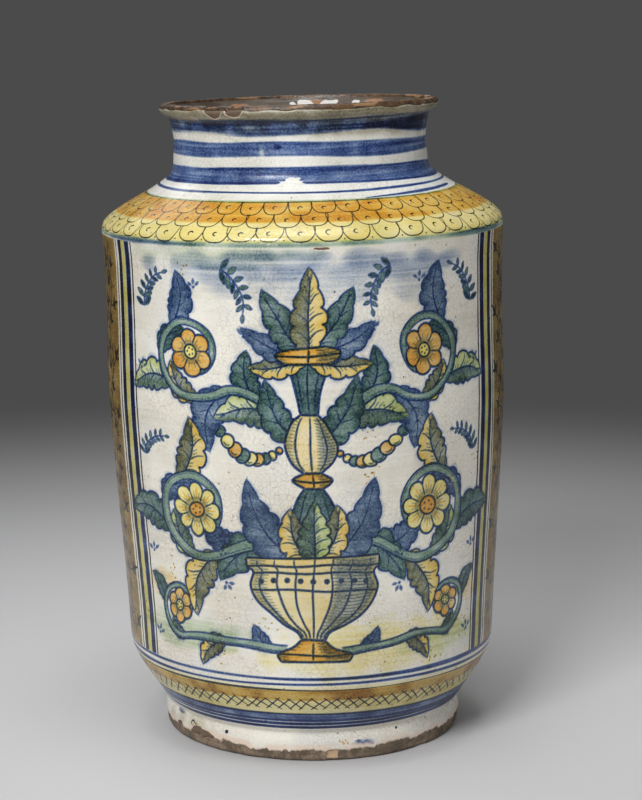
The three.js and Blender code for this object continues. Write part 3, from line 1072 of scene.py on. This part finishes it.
def dry_spots(canvas):
    """Soiling, pinholes, stains and scratches in the glaze, more of them low on the wall."""
    hand = np.random.default_rng(SPOTS_SEED)
    wall = (canvas.level > 15) & (canvas.level < 312)
    soil = 0.03 + 0.015 * canvas.streaks + 0.04 * canvas.clouds + 0.02 * canvas.dapples
    canvas.paint["thin_glaze_and_shade"] += (np.clip(soil, 0, 0.2) * wall).astype(np.float32)
    for _ in range(46):
        azimuth, height = 360 * hand.random(), 52 + 200 * hand.random() ** 1.3
        for _ in range(int(4 + 12 * hand.random())):
            place = azimuth + hand.normal(0, 1.6), height + hand.normal(0, 3.2)
            canvas.dot("ochre", *place, 0.6 + 0.5 * hand.random(), 0.9)
            canvas.dot("line", *place, 0.45 + 0.4 * hand.random(), 0.45 + 0.3 * hand.random())
    for _ in range(1500):
        height = 14 + 245 * hand.random() ** 1.6
        azimuth, size = 360 * hand.random(), 0.3 + 0.6 * hand.random() ** 3
        canvas.dot("line", azimuth, height, size, 0.4 + 0.4 * hand.random())
    for _ in range(150):
        start = np.array([360 * hand.random(), 50 + 200 * hand.random() ** 1.2])
        turn, size = hand.random() * math.pi, 1.5 + 5 * hand.random()
        run = size * ray(turn)
        knee = start + run * (0.3, 0.5) + (hand.normal(0, 0.2), 0)
        canvas.stroke("line", spline([start, knee, start + run * (0.58, 1)], 6), 0.32, 0.42, taper=0.6)


def painted(canvas):
    """The whole decoration."""
    for turn in (0, 180):
        middle = PANEL_MIDDLE + turn
        for pigment, away, *rest in GROUND_WASHES:
            canvas.wash(pigment, middle + away, *rest)
        borders(canvas, middle)
        side_band(canvas, middle + 90)
        candelabra(canvas, middle, grand=turn == 0)
    paint_neck(canvas)
    paint_shoulder(canvas)
    paint_heel(canvas)
    paint_marks(canvas)
    dry_spots(canvas)
    canvas.dry()


# Meshes

def strip_map(radius, height, visible, closed):
    """A map for the bake: the ring is cut into strips that lie over each other, so that it fills a square."""
    columns = radius.shape[1]
    steps = np.hypot(np.diff(radius[:, 0]), np.diff(height[:, 0]))
    if closed:
        steps = np.append(steps, np.hypot(radius[0, 0] - radius[-1, 0], height[0, 0] - height[-1, 0]))
    shown = (visible & np.append(visible[1:], False))[: len(steps)]
    tall = lengths(np.where(shown, steps, steps * HIDDEN_SHARE))
    strips = max(1, round(math.sqrt(2 * math.pi * radius.max() / tall[-1])))
    column = np.arange(columns)
    strip = column * strips // columns
    first = -(-strip * columns // strips)
    last = -(-(strip + 1) * columns // strips)
    left, right = (column - first) / (last - first), (column + 1 - first) / (last - first)
    low, high = tall[:-1] / tall[-1], tall[1:] / tall[-1]
    margin = MAP_MARGIN * strips
    v = margin / 2 + np.stack([low, low, high, high], -1)[:, None] * (1 - margin)
    uv = np.empty((len(low), columns, 4, 2))
    uv[..., 0] = MAP_MARGIN / 2 + (MAP_WIDTH - MAP_MARGIN) * np.stack([left, right, right, left], -1)
    uv[..., 1] = (strip[None, :, None] + v) / strips
    return uv.reshape(-1, 2)


def ring_mesh(name, radius, height, visible, closed):
    """A mesh of rows round the axis, which closes on itself or has a cap at each end. radius and height hold
    a row of the outline for each row and column. The visible rows get nearly all of the map for the bake."""
    rows, columns = radius.shape
    angle = np.arange(columns) * 2 * math.pi / columns
    share = np.clip((height - DIP_START) / (JAR_HEIGHT - DIP_START), 0, 1)
    dip = RIM_DIP * share * share * (3 - 2 * share) * (1 - np.cos(angle)) / 2
    points = np.stack(leaned(radius * np.sin(angle), -radius * np.cos(angle), height - dip), -1)
    row = np.arange(rows if closed else rows - 1)[:, None]
    column = np.arange(columns)[None]
    low, high, after = row * columns, (row + 1) % rows * columns, (column + 1) % columns
    corners = np.stack([low + column, low + after, high + after, high + column], -1).ravel()
    starts = np.arange(0, len(corners), 4)
    uv = strip_map(radius, height, visible, closed)
    if not closed:
        for rim in (np.arange(columns)[::-1], np.arange(columns) + (rows - 1) * columns):
            starts = np.append(starts, len(corners))
            corners = np.concatenate([corners, rim])
            uv = np.vstack([uv, CAP_MIDDLE + CAP_RADIUS * ray(angle)])
    mesh = bpy.data.meshes.new(name)
    mesh.vertices.add(rows * columns)
    mesh.vertices.foreach_set("co", (points * MM).astype(np.float32).ravel())
    mesh.loops.add(len(corners))
    mesh.loops.foreach_set("vertex_index", corners.astype(np.int32))
    mesh.polygons.add(len(starts))
    mesh.polygons.foreach_set("loop_start", starts.astype(np.int32))
    mesh.update(calc_edges=True)
    mesh.uv_layers.new(name="OFBake").uv.foreach_set("vector", uv.astype(np.float32).ravel())
    mesh.shade_smooth()
    mesh.set_sharp_from_angle(angle=SHARP_EDGE)
    return mesh


def piece(name, node, slot, material, radius, height, visible, closed=True, **held):
    """A visible piece that stands for a CAD node. held names up to four amounts of each vertex, as a colour
    that the nodes read."""
    mesh = ring_mesh(name, radius, height, visible, closed)
    for layer_name, layers in held.items():
        values = np.zeros((radius.size, 4), np.float32)
        for i, layer in enumerate(layers):
            values[:, i] = layer.ravel()
        mesh.attributes.new(layer_name, "FLOAT_COLOR", "POINT").data.foreach_set("color", values.ravel())
    mesh.materials.append(material)
    made = bpy.data.objects.new(name, mesh)
    bpy.context.scene.collection.objects.link(made)
    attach(made, "root")
    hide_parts(node)


def outer_line():
    """The outer side of the glaze from the foot to the top of the lip's rounded edge."""
    coat = front_chain("outer_glaze")
    top = max(range(len(coat)), key=lambda i: (coat[i][1], coat[i][0]))
    corner, *edge = lip_outline()[0]
    on_lip = [(corner[0] + 0.75, corner[1]), *((r + 0.45, z - 0.25) for r, z in edge)]
    return smooth_line([(coat[0][0], 3.5), coat[0], *coat[: top - 1 : -1], *on_lip], ROW_STEP, 0.9)


def wall_relief(canvas):
    """How far the glaze stands off its smooth outline: turning rings, lumps and a shape not quite round."""
    turning = np.sin(canvas.level / WALL_PITCH * 2 * math.pi + 1.5 * np.sin(canvas.level / 31))
    sway = 0.5 + 0.5 * canvas.grain(18, 40, 22)
    relief = 0.035 * turning * np.clip(sway, 0, 1.5)
    relief = relief + 0.14 * canvas.grain(30, 45, 21) + 0.018 * canvas.grain(2.2, 3, 23)
    deepest = np.where((canvas.level > 280) | (canvas.level < 55), -0.12, -0.35)
    return np.clip(relief, deepest, 0.5) - 0.4 * np.clip(canvas.paint["bare"], 0, 1)


def coat_pieces(canvas, material):
    """The outer glaze in the same stretches as the clay under it, with ragged edges at foot and lip."""
    ragged = 0.35 * canvas.round_grain(60, 33) + 0.45 * np.tanh(1.6 * canvas.round_grain(11, 31))
    ragged = ragged + 0.4 * np.tanh(2 * canvas.round_grain(3.4, 32)) + 0.2 * canvas.round_grain(1.2, 35)
    foot = canvas.up_to(FOOT_EDGE) + np.clip(ragged, -2.6, 2.8)
    lip = canvas.up_to(GLAZE_TOP) + 0.3 * canvas.round_grain(10, 34) - 0.2
    first, last = int(canvas.row(FOOT_EDGE)), int(canvas.row(GLAZE_TOP))
    along = canvas.along[:, None]
    for level, row, edge in ((FOOT_STRETCH, first, foot), (LIP_STRETCH, last, lip)):
        start, end = canvas.up_to(level), canvas.along[row]
        along = along + np.clip((along - start) / (end - start), 0, 1) * (edge - end)
    from_edge = np.minimum(along - foot, lip - along)
    roll = 0.12 * np.exp(-(((from_edge - 1.2) / 0.8) ** 2))
    roll = roll - 0.72 * (1 - np.sqrt(np.clip(from_edge / 0.9, 0, 1)))
    lift = wall_relief(canvas) + roll
    lines = canvas.radius, canvas.height, *outline_normals(canvas.radius, canvas.height)
    radius, height, out_r, out_z = (np.interp(along, canvas.along, line) for line in lines)
    levels = [min(z for _, z in front_chain(node)) for node in CLAY_RINGS]
    cuts = [first, *(round(float(canvas.row(level))) for level in levels), last]
    back_step = max(1, int(BACK_STEP / canvas.row_size))
    for name, low, high in zip(("foot", *CLAY_RINGS), cuts, cuts[1:], strict=False):
        front = np.arange(low, high + 1)
        back = np.append(np.arange(high, low, -back_step), low)
        rows = np.concatenate([front, back])
        depth = np.concatenate([lift[front], np.minimum(-BACK_DEPTH, lift[back] - 0.05)])
        piece(
            f"{name}_glaze", "outer_glaze", "painted_glaze", material,
            radius[rows] + out_r[rows] * depth,
            height[rows] + out_z[rows] * depth,
            np.arange(len(rows)) < len(front),
            paint_a=[canvas.paint[pigment][rows] for pigment in PIGMENTS[:4]],
            paint_b=[canvas.paint[pigment][rows] for pigment in PIGMENTS[4:]],
        )


LIP_BREAKS = (
    # outlines in the glaze below the chips, as azimuth and height
    ((-41.3, 319.0), (-38.9, 315.9), (-36.6, 313.8), (-34.8, 313.8), (-32.4, 315.0), (-31.2, 319.0)),
    ((-30.0, 319.0), (-29.2, 315.8), (-27.4, 314.7), (-24.6, 314.5), (-22.6, 315.9), (-21.6, 319.0)),
)
LIP_CHIPS = (
    # azimuth, height, half width, half height, depth
    (-36.2, 317.4, 6.4, 3.2, 1.9),
    (-25.0, 317.6, 4.4, 2.6, 1.4),
    (61.0, 318.6, 2.6, 1.6, 0.7),
    (148.0, 318.4, 4.0, 2.0, 0.9),
    (-118.0, 318.8, 3.0, 1.8, 0.8),
)
LAND_CHIPS = (
    # azimuth, radius, half width, depth
    (-52.0, 64.6, 5.0, 0.5),
    (-40.0, 64.9, 7.0, 0.7),
    (-28.0, 64.6, 6.0, 0.7),
    (-18.0, 64.6, 5.0, 0.5),
    (70.0, 67.0, 9.0, 0.3),
    (96.0, 64.6, 4.5, 0.6),
    (201.0, 67.0, 5.0, 0.6),
)


def lip_piece(material):
    """The worn clay lip: a rounded edge, a narrow flat land and the inner fall, with chips."""
    (corner, *edge), land, fall = lip_outline()
    low = corner[1]
    under = [(60.5, low - 1.8), (64.2, low - 1.8), (64.35, low)]
    line = smooth_line([*under, *edge, *land, *fall, (57.2, low - 1.8)], LIP_STEP, 0.35)
    skin = Skin(*line, COLUMNS, COLUMNS / FULL_COLUMNS / 0.4)
    lift = 0.05 * skin.grain(2, 6, 41) + 0.03 * skin.grain(0.7, 1, 42)
    worn_edge = np.exp(-(((skin.level - 319.2) / 1.1) ** 2))
    lift = lift + worn_edge * (0.08 * np.minimum(skin.grain(2, 3, 43), 0.6) - 0.05)
    ragged = skin.grain(0.8, 1.2, 44)
    chipped = np.zeros(skin.shape)
    # The rubbed patches on the worn edge are partly wear and partly painted orange glints
    rubbed = 0.7 * np.clip(2 * skin.grain(0.9, 5, 45) - 1.8, 0, 1) * worn_edge
    for azimuth, level, wide, tall, depth in LIP_CHIPS:
        share = skin.spot(azimuth, wide, (skin.level - level) / tall, 0.16 * ragged, 2.6) * (skin.out > 65.5)
        lift = lift - depth * np.sqrt(share)
        chipped = np.maximum(chipped, np.clip(share * 5, 0, 1))
    for azimuth, inset, wide, depth in LAND_CHIPS:
        share = skin.spot(azimuth, wide, (skin.out - inset) / 1.6, 0.2 * ragged) * (skin.level > 317.5)
        lift = lift - depth * np.sqrt(share)
        rubbed = np.maximum(rubbed, np.clip(share * 4, 0, 1))
    radius, height = skin.pushed(lift)
    height = np.minimum(height, JAR_HEIGHT + 0.1)
    shown = np.ones(len(radius), bool)
    piece("worn_lip", "lip", "clay", material, radius, height, shown, wear=[chipped, rubbed])


UNDERSIDE = ((AXIS_GAP, 1.6), (30, 1.7), (60, 1.5), (64.5, 1.1), (66.5, 0.15), (68.5, 0.0), (73.0, 0.0))
STANDING_EDGE = 64
FOOT_WALL = 74
FOOT_FLAKE = (7.8, 4.4, 3.0, 2.4)


def foot_piece(material):
    """The clay foot: bare below the glaze, a bearing ring worn by shelves, and a turned underside."""
    chain = front_chain("base")
    widest = max(range(len(chain)), key=lambda i: chain[i][0])
    side = [p for p in chain[: widest + 3] if p[0] > FOOT_WALL]
    hidden = [p for p in chain[widest + 3 :] if p[0] > 1] + [(AXIS_GAP, chain[-1][1])]
    line = smooth_line([*UNDERSIDE, *side], FOOT_STEP, 0.4)
    skin = Skin(*np.hstack([line, np.transpose(hidden)]), COLUMNS // 2)
    shown = np.arange(len(skin.radius)) < len(line[0])
    lift = 0.12 * skin.grain(4, 7, 51) + 0.07 * skin.grain(1.5, 2, 52)
    lift = lift + 0.22 * np.sin(skin.out / UNDERSIDE_PITCH * 2 * math.pi) * (skin.level < 3)
    nicks = np.clip(skin.grain(2.5, 5, 53) - 1.7, 0, 2) * (skin.out > STANDING_EDGE)
    nicks = nicks * np.exp(-(((skin.level - 1.2) / 1.6) ** 2))
    lift = lift - 0.8 * nicks
    azimuth, level, wide, tall = FOOT_FLAKE
    flake = skin.spot(azimuth, wide, (skin.level - level) / tall, 0.5 * skin.grain(1.8, 1.6, 54))
    flake = flake * (skin.out > FOOT_WALL)
    fade = np.clip((skin.out - 3) / 5, 0, 1) * shown[:, None]
    radius, height = skin.pushed(np.clip(lift - 0.5 * np.sqrt(flake), -1.4, 0.25) * fade)
    height = np.maximum(height, 0)
    wear = [np.clip(nicks * 2, 0, 1) * fade, np.clip(flake * 4, 0, 1)]
    piece("clay_foot", "base", "clay", material, radius, height, shown, closed=False, wear=wear)


INSIDE_PATCHES = (
    # azimuth, height, half width, half height, then 0 for white glaze and 1 for rubbed brown
    (179.4, 313.6, 6.2, 3.2, 0),
    (165.6, 314.0, 4.2, 3.2, 0),
    (151.4, 315.0, 2.6, 1.7, 0),
    (172.0, 313.8, 4.4, 3.4, 1),
    (140.0, 315.0, 7.0, 2.4, 1),
    (212.0, 314.0, 6.0, 2.0, 1),
    (20.0, 315.0, 12.0, 3.0, 0),
    (-60.0, 314.0, 9.0, 4.0, 1),
)


def inside_piece(name, behind, shown, step, columns, closed, material):
    """A piece of the glaze inside, from the outline of its hidden back and of its open side."""
    skin = Skin(*smooth_line(shown, step, 0.4), columns)
    lift = 0.12 * skin.grain(6, 9, 61) + 0.04 * skin.grain(1.2, 20, 62)
    lift = lift + 0.1 * np.sin(skin.level / INSIDE_PITCH * 2 * math.pi) * (skin.level < 300)
    row = np.arange(len(skin.radius))
    radius, height = skin.pushed(lift * np.clip(np.minimum(row, row[::-1]) / 4, 0, 1)[:, None])
    ragged = 0.32 * skin.grain(2.6, 2.2, 63)
    back_radius, back_height = np.transpose(behind)[:, :, None] + np.zeros(columns)
    patches = np.zeros((2, len(behind) + len(row), columns))
    for azimuth, level, wide, tall, kind in INSIDE_PATCHES:
        share = skin.spot(azimuth, wide, (skin.level - level) / tall, ragged, 3, 3)
        layer = patches[kind, len(behind) :]
        np.maximum(layer, np.clip(share * 2.2, 0, 1), out=layer)
    piece(
        name, "inner_glaze", "inner_glaze", material,
        np.concatenate([back_radius, radius]),
        np.concatenate([back_height, height]),
        np.arange(patches.shape[1]) >= len(behind),
        closed,
        patches=patches,
    )


def inside_pieces(material):
    """The glaze inside, in a lower and an upper piece. The upper one climbs to just below the rim."""
    chain = front_chain("inner_glaze")
    turn = max(range(len(chain)), key=lambda i: (chain[i][1], -chain[i][0]))
    clay_side, open_side = chain[1:turn], chain[turn:-1]
    behind = [(AXIS_GAP, chain[0][1]), *(p for p in clay_side if p[1] <= INSIDE_SPLIT + 0.1)]
    shown = [*(p for p in open_side if p[1] <= INSIDE_SPLIT + 0.1), (AXIS_GAP, chain[-1][1])]
    inside_piece("inside_lower_glaze", behind, shown, INSIDE_STEP, INSIDE_COLUMNS, False, material)
    fall = lip_outline()[2]
    on_clay = [*((r + 0.7, z - 0.7) for r, z in fall[::-1]), (64.3, 318.0)]
    over_lip = [(63.55, 318.3), *((r - INSIDE_COAT, z + INSIDE_COAT) for r, z in fall)]
    behind = [*(p for p in clay_side if p[1] >= INSIDE_SPLIT - 0.1), *on_clay]
    shown = [*over_lip, *(p for p in open_side if p[1] >= INSIDE_SPLIT - 0.1)]
    inside_piece("inside_upper_glaze", behind, shown, INSIDE_STEP / 2, 2 * INSIDE_COLUMNS, True, material)


# Materials

class Nodes:
    """The node tree of a material or a world, with short ways to add and join its nodes."""

    def __init__(self, owner):
        owner.use_nodes = True
        self.tree = owner.node_tree
        self.tree.nodes.clear()

    def node(self, kind, values=(), **settings):
        """A node with its settings, and with its inputs' values: numbers, colours or other nodes' outputs."""
        made = self.tree.nodes.new(kind)
        for name, value in settings.items():
            setattr(made, name, value)
        for name, value in dict(values).items():
            self.put(made.inputs[name], value)
        return made

    def put(self, target, value):
        if isinstance(value, bpy.types.NodeSocket):
            self.tree.links.new(value, target)
        elif target.type == "RGBA":
            target.default_value = (*value, 1)
        else:
            target.default_value = value

    def math(self, operation, a, b):
        return self.node("ShaderNodeMath", {0: a, 1: b}, operation=operation).outputs[0]

    def times(self, a, b):
        return self.math("MULTIPLY", a, b)

    def seen(self):
        """1 for what the camera sees, also by reflection or through glass, and 0 for what gives light."""
        rays = self.node("ShaderNodeLightPath").outputs
        seen = self.math("MAXIMUM", rays["Is Camera Ray"], rays["Is Glossy Ray"])
        return self.math("MAXIMUM", seen, rays["Is Transmission Ray"])

    def either(self, share, a, b):
        return self.node("ShaderNodeMixShader", {0: share, 1: a, 2: b}).outputs[0]


class Shader(Nodes):
    """A material whose colour is laid down layer by layer."""

    def __init__(self, name, colour):
        self.material = bpy.data.materials.new(name)
        super().__init__(self.material)
        self.colour = colour
        self.surface = self.node("ShaderNodeBsdfPrincipled")
        self.output = self.node("ShaderNodeOutputMaterial", {"Surface": self.surface.outputs[0]})
        self.place = self.node("ShaderNodeTexCoord").outputs["Object"]

    def held(self, name):
        """The four amounts that the mesh holds under a name."""
        layer = self.node("ShaderNodeAttribute", attribute_name=name, attribute_type="GEOMETRY")
        parts = self.node("ShaderNodeSeparateColor", {0: layer.outputs["Color"]})
        return [*parts.outputs, layer.outputs["Alpha"]]

    def level(self):
        """The height on the jar in metres."""
        return self.node("ShaderNodeSeparateXYZ", {0: self.place}).outputs[2]

    def noise(self, scale, detail, rough=0.5, warp=0.0):
        values = {"Scale": scale, "Detail": detail, "Roughness": rough, "Distortion": warp}
        return self.node("ShaderNodeTexNoise", {"Vector": self.place, **values}).outputs["Fac"]

    def cells(self, scale, feature, warp_scale):
        """The distance to the middles or edges of cells, whose straight edges a noise pushes about."""
        noise = self.node("ShaderNodeTexNoise", {"Vector": self.place, "Scale": warp_scale}).outputs["Color"]
        values = {0: noise, 1: (0.003, 0.003, 0.003), 2: self.place}
        place = self.node("ShaderNodeVectorMath", values, operation="MULTIPLY_ADD").outputs[0]
        cells = self.node("ShaderNodeTexVoronoi", {"Vector": place, "Scale": scale}, feature=feature)
        return cells.outputs["Distance"]

    def span(self, value, low, high, to_low=0.0, to_high=1.0):
        """The value's share between two numbers, smoothly, as between two others."""
        values = {"Value": value, "From Min": low, "From Max": high, "To Min": to_low, "To Max": to_high}
        return self.node("ShaderNodeMapRange", values, interpolation_type="SMOOTHSTEP").outputs["Result"]

    def mix(self, share, a, b, blend="MIX"):
        values = {"Factor": share, 6: a, 7: b}
        return self.node("ShaderNodeMix", values, data_type="RGBA", blend_type=blend).outputs[2]

    def lay(self, share, colour, strength=None, blend="MIX"):
        """Lays a colour over what is there, by a share and its strength."""
        share = share if strength is None else self.times(share, strength)
        self.colour = self.mix(share, self.colour, colour, blend)

    def tint(self, colour, amount):
        """Lays a see-through pigment: its colour over white at an amount of 1, deeper as more lies there."""
        deeper = self.node("ShaderNodeGamma", {"Color": colour, "Gamma": amount}).outputs[0]
        self.lay(1.0, deeper, blend="MULTIPLY")

    def finish(self, roughness, relief=None, depth=0.0, gloss=0.5):
        """Joins the colour, roughness and relief to the surface. The depth of the relief is in metres."""
        values = {"Base Color": self.colour, "Roughness": roughness, "Specular IOR Level": gloss}
        if relief:
            values["Normal"] = self.node("ShaderNodeBump", {"Height": relief, "Distance": depth}).outputs[0]
        for name, value in values.items():
            self.put(self.surface.inputs[name], value)
        return self.material


WHITE = (0.78, 0.75, 0.665)
WARM_WHITE = (0.66, 0.62, 0.535)
COOL_WHITE = (0.64, 0.65, 0.63)
# Painted light: a brighter white for the neck, as the light from above makes it look
NECK_TOP_LIT_WHITE = (0.83, 0.835, 0.80)
CRACK = (0.50, 0.44, 0.37)
PIT = (0.12, 0.085, 0.055)
HALO = (0.68, 0.52, 0.40)
BARE_CLAY = (0.08, 0.05, 0.033)
BARE_SAND = (0.18, 0.13, 0.09)
TINTS = (
    ("thin_glaze_and_shade", (0.30, 0.275, 0.20)),
    ("ochre", (0.76, 0.50, 0.19)),
    ("yellow", (1.0, 0.90, 0.40)),
    ("green", (0.46, 0.62, 0.42)),
    ("orange", (0.85, 0.52, 0.155)),
    ("blue", (0.135, 0.215, 0.46)),
    ("line", (0.045, 0.055, 0.075)),
)


def painted_glaze():
    """Tin glaze over clay, with the pigments sunk into it, fine crackle, pits and specks."""
    s = Shader("painted_glaze", WHITE)
    amounts = dict(zip(PIGMENTS, s.held("paint_a") + s.held("paint_b"), strict=True))
    amounts["line"] = s.span(amounts["line"], 0.18, 0.62)
    brush = s.noise(1100, 3, 0.65)
    s.lay(s.span(s.noise(16, 4, 0.55), 0.35, 0.68), WARM_WHITE)
    s.lay(s.span(s.noise(45, 3, 0.6), 0.4, 0.72), COOL_WHITE, 0.6)
    # Painted light: the white is laid brighter from the shoulder up, as if lit from above
    s.lay(s.span(s.level(), 0.270, 0.280, 0.0, 0.75), NECK_TOP_LIT_WHITE)
    s.lay(s.span(brush, 0.3, 0.5, 0.3, 0.0), CRACK, blend="MULTIPLY")
    for pigment, tint in TINTS:
        s.tint(tint, s.times(amounts[pigment], s.span(brush, 0.25, 0.75, 0.6, 1.4)))
    crackle = s.cells(400, "DISTANCE_TO_EDGE", 150)
    crack = s.times(s.span(crackle, 0.0, 0.05, 1.0, 0.0), s.span(s.noise(30, 2), 0.38, 0.6))
    s.lay(crack, CRACK, 0.6, "MULTIPLY")
    dirt = s.span(s.noise(14, 3, 0.6), 0.42, 0.66)
    pit = s.times(s.span(s.cells(150, "F1", 60), 0.05, 0.10, 1.0, 0.0), dirt)
    s.lay(pit, PIT, 0.7)
    s.lay(s.span(s.noise(1500, 2, 0.7), 0.66, 0.74), PIT, s.times(dirt, 0.35))
    s.lay(s.span(amounts["bare"], 0.04, 0.28), HALO, 0.7)
    ragged = s.times(s.math("SUBTRACT", brush, 0.5), 0.5)
    bare = s.span(s.math("ADD", amounts["bare"], ragged), 0.45, 0.6)
    s.lay(bare, s.mix(s.noise(300, 3), BARE_CLAY, BARE_SAND))
    rough = s.span(s.noise(38, 4, 0.6), 0.3, 0.75, 0.17, 0.34)
    rough = s.math("MAXIMUM", rough, s.times(bare, 0.85))
    rough = s.math("MAXIMUM", rough, s.times(pit, 0.7))
    hollow = s.math("ADD", s.times(crack, -0.2), s.times(pit, -1.0))
    skin = s.times(s.noise(160, 4, 0.55), 0.8)
    return s.finish(rough, s.math("ADD", hollow, skin), 0.00022)


CLAY_SOIL = (0.06, 0.045, 0.032)
FOOT_CLAY = {
    "dark": (0.095, 0.068, 0.045),
    "light": (0.225, 0.17, 0.12),
    "fresh": (0.38, 0.27, 0.18),
    "sandy": (0.60, 0.40, 0.23),
    "roughness": 0.72,
}
LIP_CLAY = {
    "dark": (0.038, 0.024, 0.015),
    "light": (0.13, 0.07, 0.034),
    "fresh": (0.07, 0.044, 0.03),
    # On the lip the sandy colour is partly sand and partly painted orange glints
    "sandy": (0.34, 0.19, 0.09),
    "roughness": 0.24,
}


def worn_clay(name, dark, light, fresh, sandy, roughness):
    """Fired clay, soiled, rubbed and sandy (on the lip partly painted glints), fresher where it is chipped.
    """
    s = Shader(name, dark)
    chipped, rubbed, *_ = s.held("wear")
    s.lay(s.span(s.noise(150, 7, 0.72), 0.38, 0.62), light)
    s.lay(s.span(s.noise(1100, 3, 0.7), 0.55, 0.68), sandy, 0.35)
    s.lay(s.span(s.noise(40, 5, 0.7), 0.5, 0.7), CLAY_SOIL, 0.6)
    fine = s.noise(500, 4, 0.7)
    s.lay(s.span(rubbed, 0.2, 0.7), s.mix(s.times(fine, 0.6), sandy, light))
    s.lay(s.span(chipped, 0.2, 0.7), s.mix(fine, fresh, light))
    rough = s.span(s.noise(120, 3, 0.6), 0.3, 0.7, roughness - 0.1, roughness + 0.12)
    rough = s.math("MAXIMUM", rough, s.times(chipped, 0.8))
    grit = s.math("ADD", s.times(s.noise(900, 4, 0.7), 0.6), s.noise(180, 4, 0.6))
    return s.finish(rough, grit, 0.0004)


# The inside's grey and dark colours are partly the glaze's own and partly painted shade inside the mouth.
INSIDE_SHADED_GREY = (0.105, 0.088, 0.07)
INSIDE_SHADED_DARK = (0.06, 0.046, 0.035)
INSIDE_STAIN = (0.05, 0.036, 0.026)
INSIDE_FLOOR = (0.13, 0.09, 0.06)
INSIDE_CRACK = (0.16, 0.12, 0.09)
INSIDE_RUBBED = (0.28, 0.15, 0.08)
INSIDE_WHITE = (0.60, 0.58, 0.55)


def inside_glaze():
    """The glaze inside: grey, darkened by painted shade, stained towards the floor, with white and rubbed
    patches by the lip.
    """
    s = Shader("inside_glaze", INSIDE_SHADED_GREY)
    white, rubbed, *_ = s.held("patches")
    s.lay(s.span(s.noise(34, 5, 0.6, warp=0.6), 0.42, 0.58), INSIDE_SHADED_DARK)
    s.lay(s.span(s.noise(75, 5, 0.65), 0.45, 0.7), INSIDE_STAIN, 0.55)
    s.lay(s.span(s.level(), 0.0, 0.14, 0.75, 0.0), INSIDE_FLOOR, s.span(s.noise(26, 4), 0.3, 0.6))
    s.lay(s.span(s.cells(300, "DISTANCE_TO_EDGE", 120), 0.0, 0.04, 0.3, 0.0), INSIDE_CRACK)
    smear = s.times(s.math("SUBTRACT", s.noise(260, 4, 0.7), 0.5), 0.9)
    s.lay(s.span(s.math("ADD", rubbed, smear), 0.25, 0.7), INSIDE_RUBBED)
    s.lay(s.span(s.math("ADD", white, smear), 0.25, 0.7), INSIDE_WHITE)
    rough = s.span(s.noise(50, 4, 0.6), 0.3, 0.7, 0.25, 0.5)
    return s.finish(rough, s.noise(140, 4, 0.6), 0.0004)


# The room, in metres

BACKGROUND = (0.07, 0.07, 0.071)
SKY = (1.0, 1.0, 1.0)
SKY_STRENGTH = 0.22
FLOOR_COLOURS = (0.55, 0.55, 0.56), (0.57, 0.57, 0.58)
FLOOR_RADIUS = 30.0
# Painted light: how far from the jar the floor's pale pool of light fades into the background
FLOOR_LIGHT_FALLOFF = 0.12, 0.95
CAMERA_LENS = 103.5
CAMERA_PLACE = (0.00435, -1.154, 0.3782)
CAMERA_TILT = math.radians(79.62)
LAMPS = (
    # name, place, the height on the jar that it faces, width, height, power in watts
    ("key", (-0.95, -2.1, 1.75), 0.17, 1.0, 0.7, 63),
    ("top", (-0.05, -0.3, 2.1), 0.25, 0.9, 0.9, 14),
    ("fill", (1.9, -1.2, 1.1), 0.15, 1.2, 1.2, 3),
    ("back", (-0.6, 1.9, 1.9), 0.15, 1.4, 1.0, 8),
)


def placed(name, data, place, tilt, turn=0.0):
    """A lamp or camera, tilted up from looking straight down and then turned."""
    made = bpy.data.objects.new(name, data)
    made.location = place
    made.rotation_euler = (tilt, 0, turn)
    bpy.context.scene.collection.objects.link(made)
    return made


def floor_material():
    """A plain pale floor that passes into the dark background far from the jar, a painted falloff of the
    light round it.
    """
    s = Shader("floor", FLOOR_COLOURS[0])
    s.lay(s.noise(3, 2), FLOOR_COLOURS[1])
    s.finish(0.8, gloss=0.1)
    beyond = s.node("ShaderNodeEmission", {"Color": BACKGROUND}).outputs[0]
    reach = s.node("ShaderNodeVectorMath", {0: s.place}, operation="LENGTH").outputs["Value"]
    # Painted light: pale near the jar, fading to the dark background further out
    share = s.times(s.span(reach, *FLOOR_LIGHT_FALLOFF), s.seen())
    s.put(s.output.inputs["Surface"], s.either(share, s.surface.outputs[0], beyond))
    return s.material


def studio():
    """A pale floor, soft lamps and the camera at the photograph's angle."""
    scene = bpy.context.scene
    scene.view_settings.view_transform = "Standard"
    camera = bpy.data.cameras.new("camera")
    camera.lens = CAMERA_LENS
    camera.clip_end = 50
    scene.camera = placed("camera", camera, CAMERA_PLACE, CAMERA_TILT)
    for name, place, aim, wide, tall, power in LAMPS:
        data = bpy.data.lights.new(name, "AREA")
        data.shape = "RECTANGLE"
        data.size, data.size_y, data.energy = wide, tall, power
        x, y, z = place[0], place[1], place[2] - aim
        placed(name, data, place, math.acos(z / math.hypot(x, y, z)), math.atan2(x, -y))
    bpy.ops.mesh.primitive_circle_add(vertices=128, radius=FLOOR_RADIUS, fill_type="NGON")
    floor = bpy.context.object
    floor.name = "floor"
    floor.data.materials.append(floor_material())
    scene.world = bpy.data.worlds.new("room")
    room = Nodes(scene.world)
    sky = room.node("ShaderNodeBackground", {"Color": SKY, "Strength": SKY_STRENGTH}).outputs[0]
    beyond = room.node("ShaderNodeBackground", {"Color": BACKGROUND}).outputs[0]
    room.node("ShaderNodeOutputWorld", {"Surface": room.either(room.seen(), sky, beyond)})


def main():
    studio()
    glaze = painted_glaze()
    clay = worn_clay("fired_clay", **FOOT_CLAY)
    lip_clay = worn_clay("lip_clay", **LIP_CLAY)
    canvas = Canvas(*outer_line(), COLUMNS)
    painted(canvas)
    coat_pieces(canvas, glaze)
    lip_piece(lip_clay)
    foot_piece(clay)
    inside_pieces(inside_glaze())
    for node in CLAY_RINGS:
        for slot in frame["nodes"][node].material_slots:
            slot.material = clay


main()
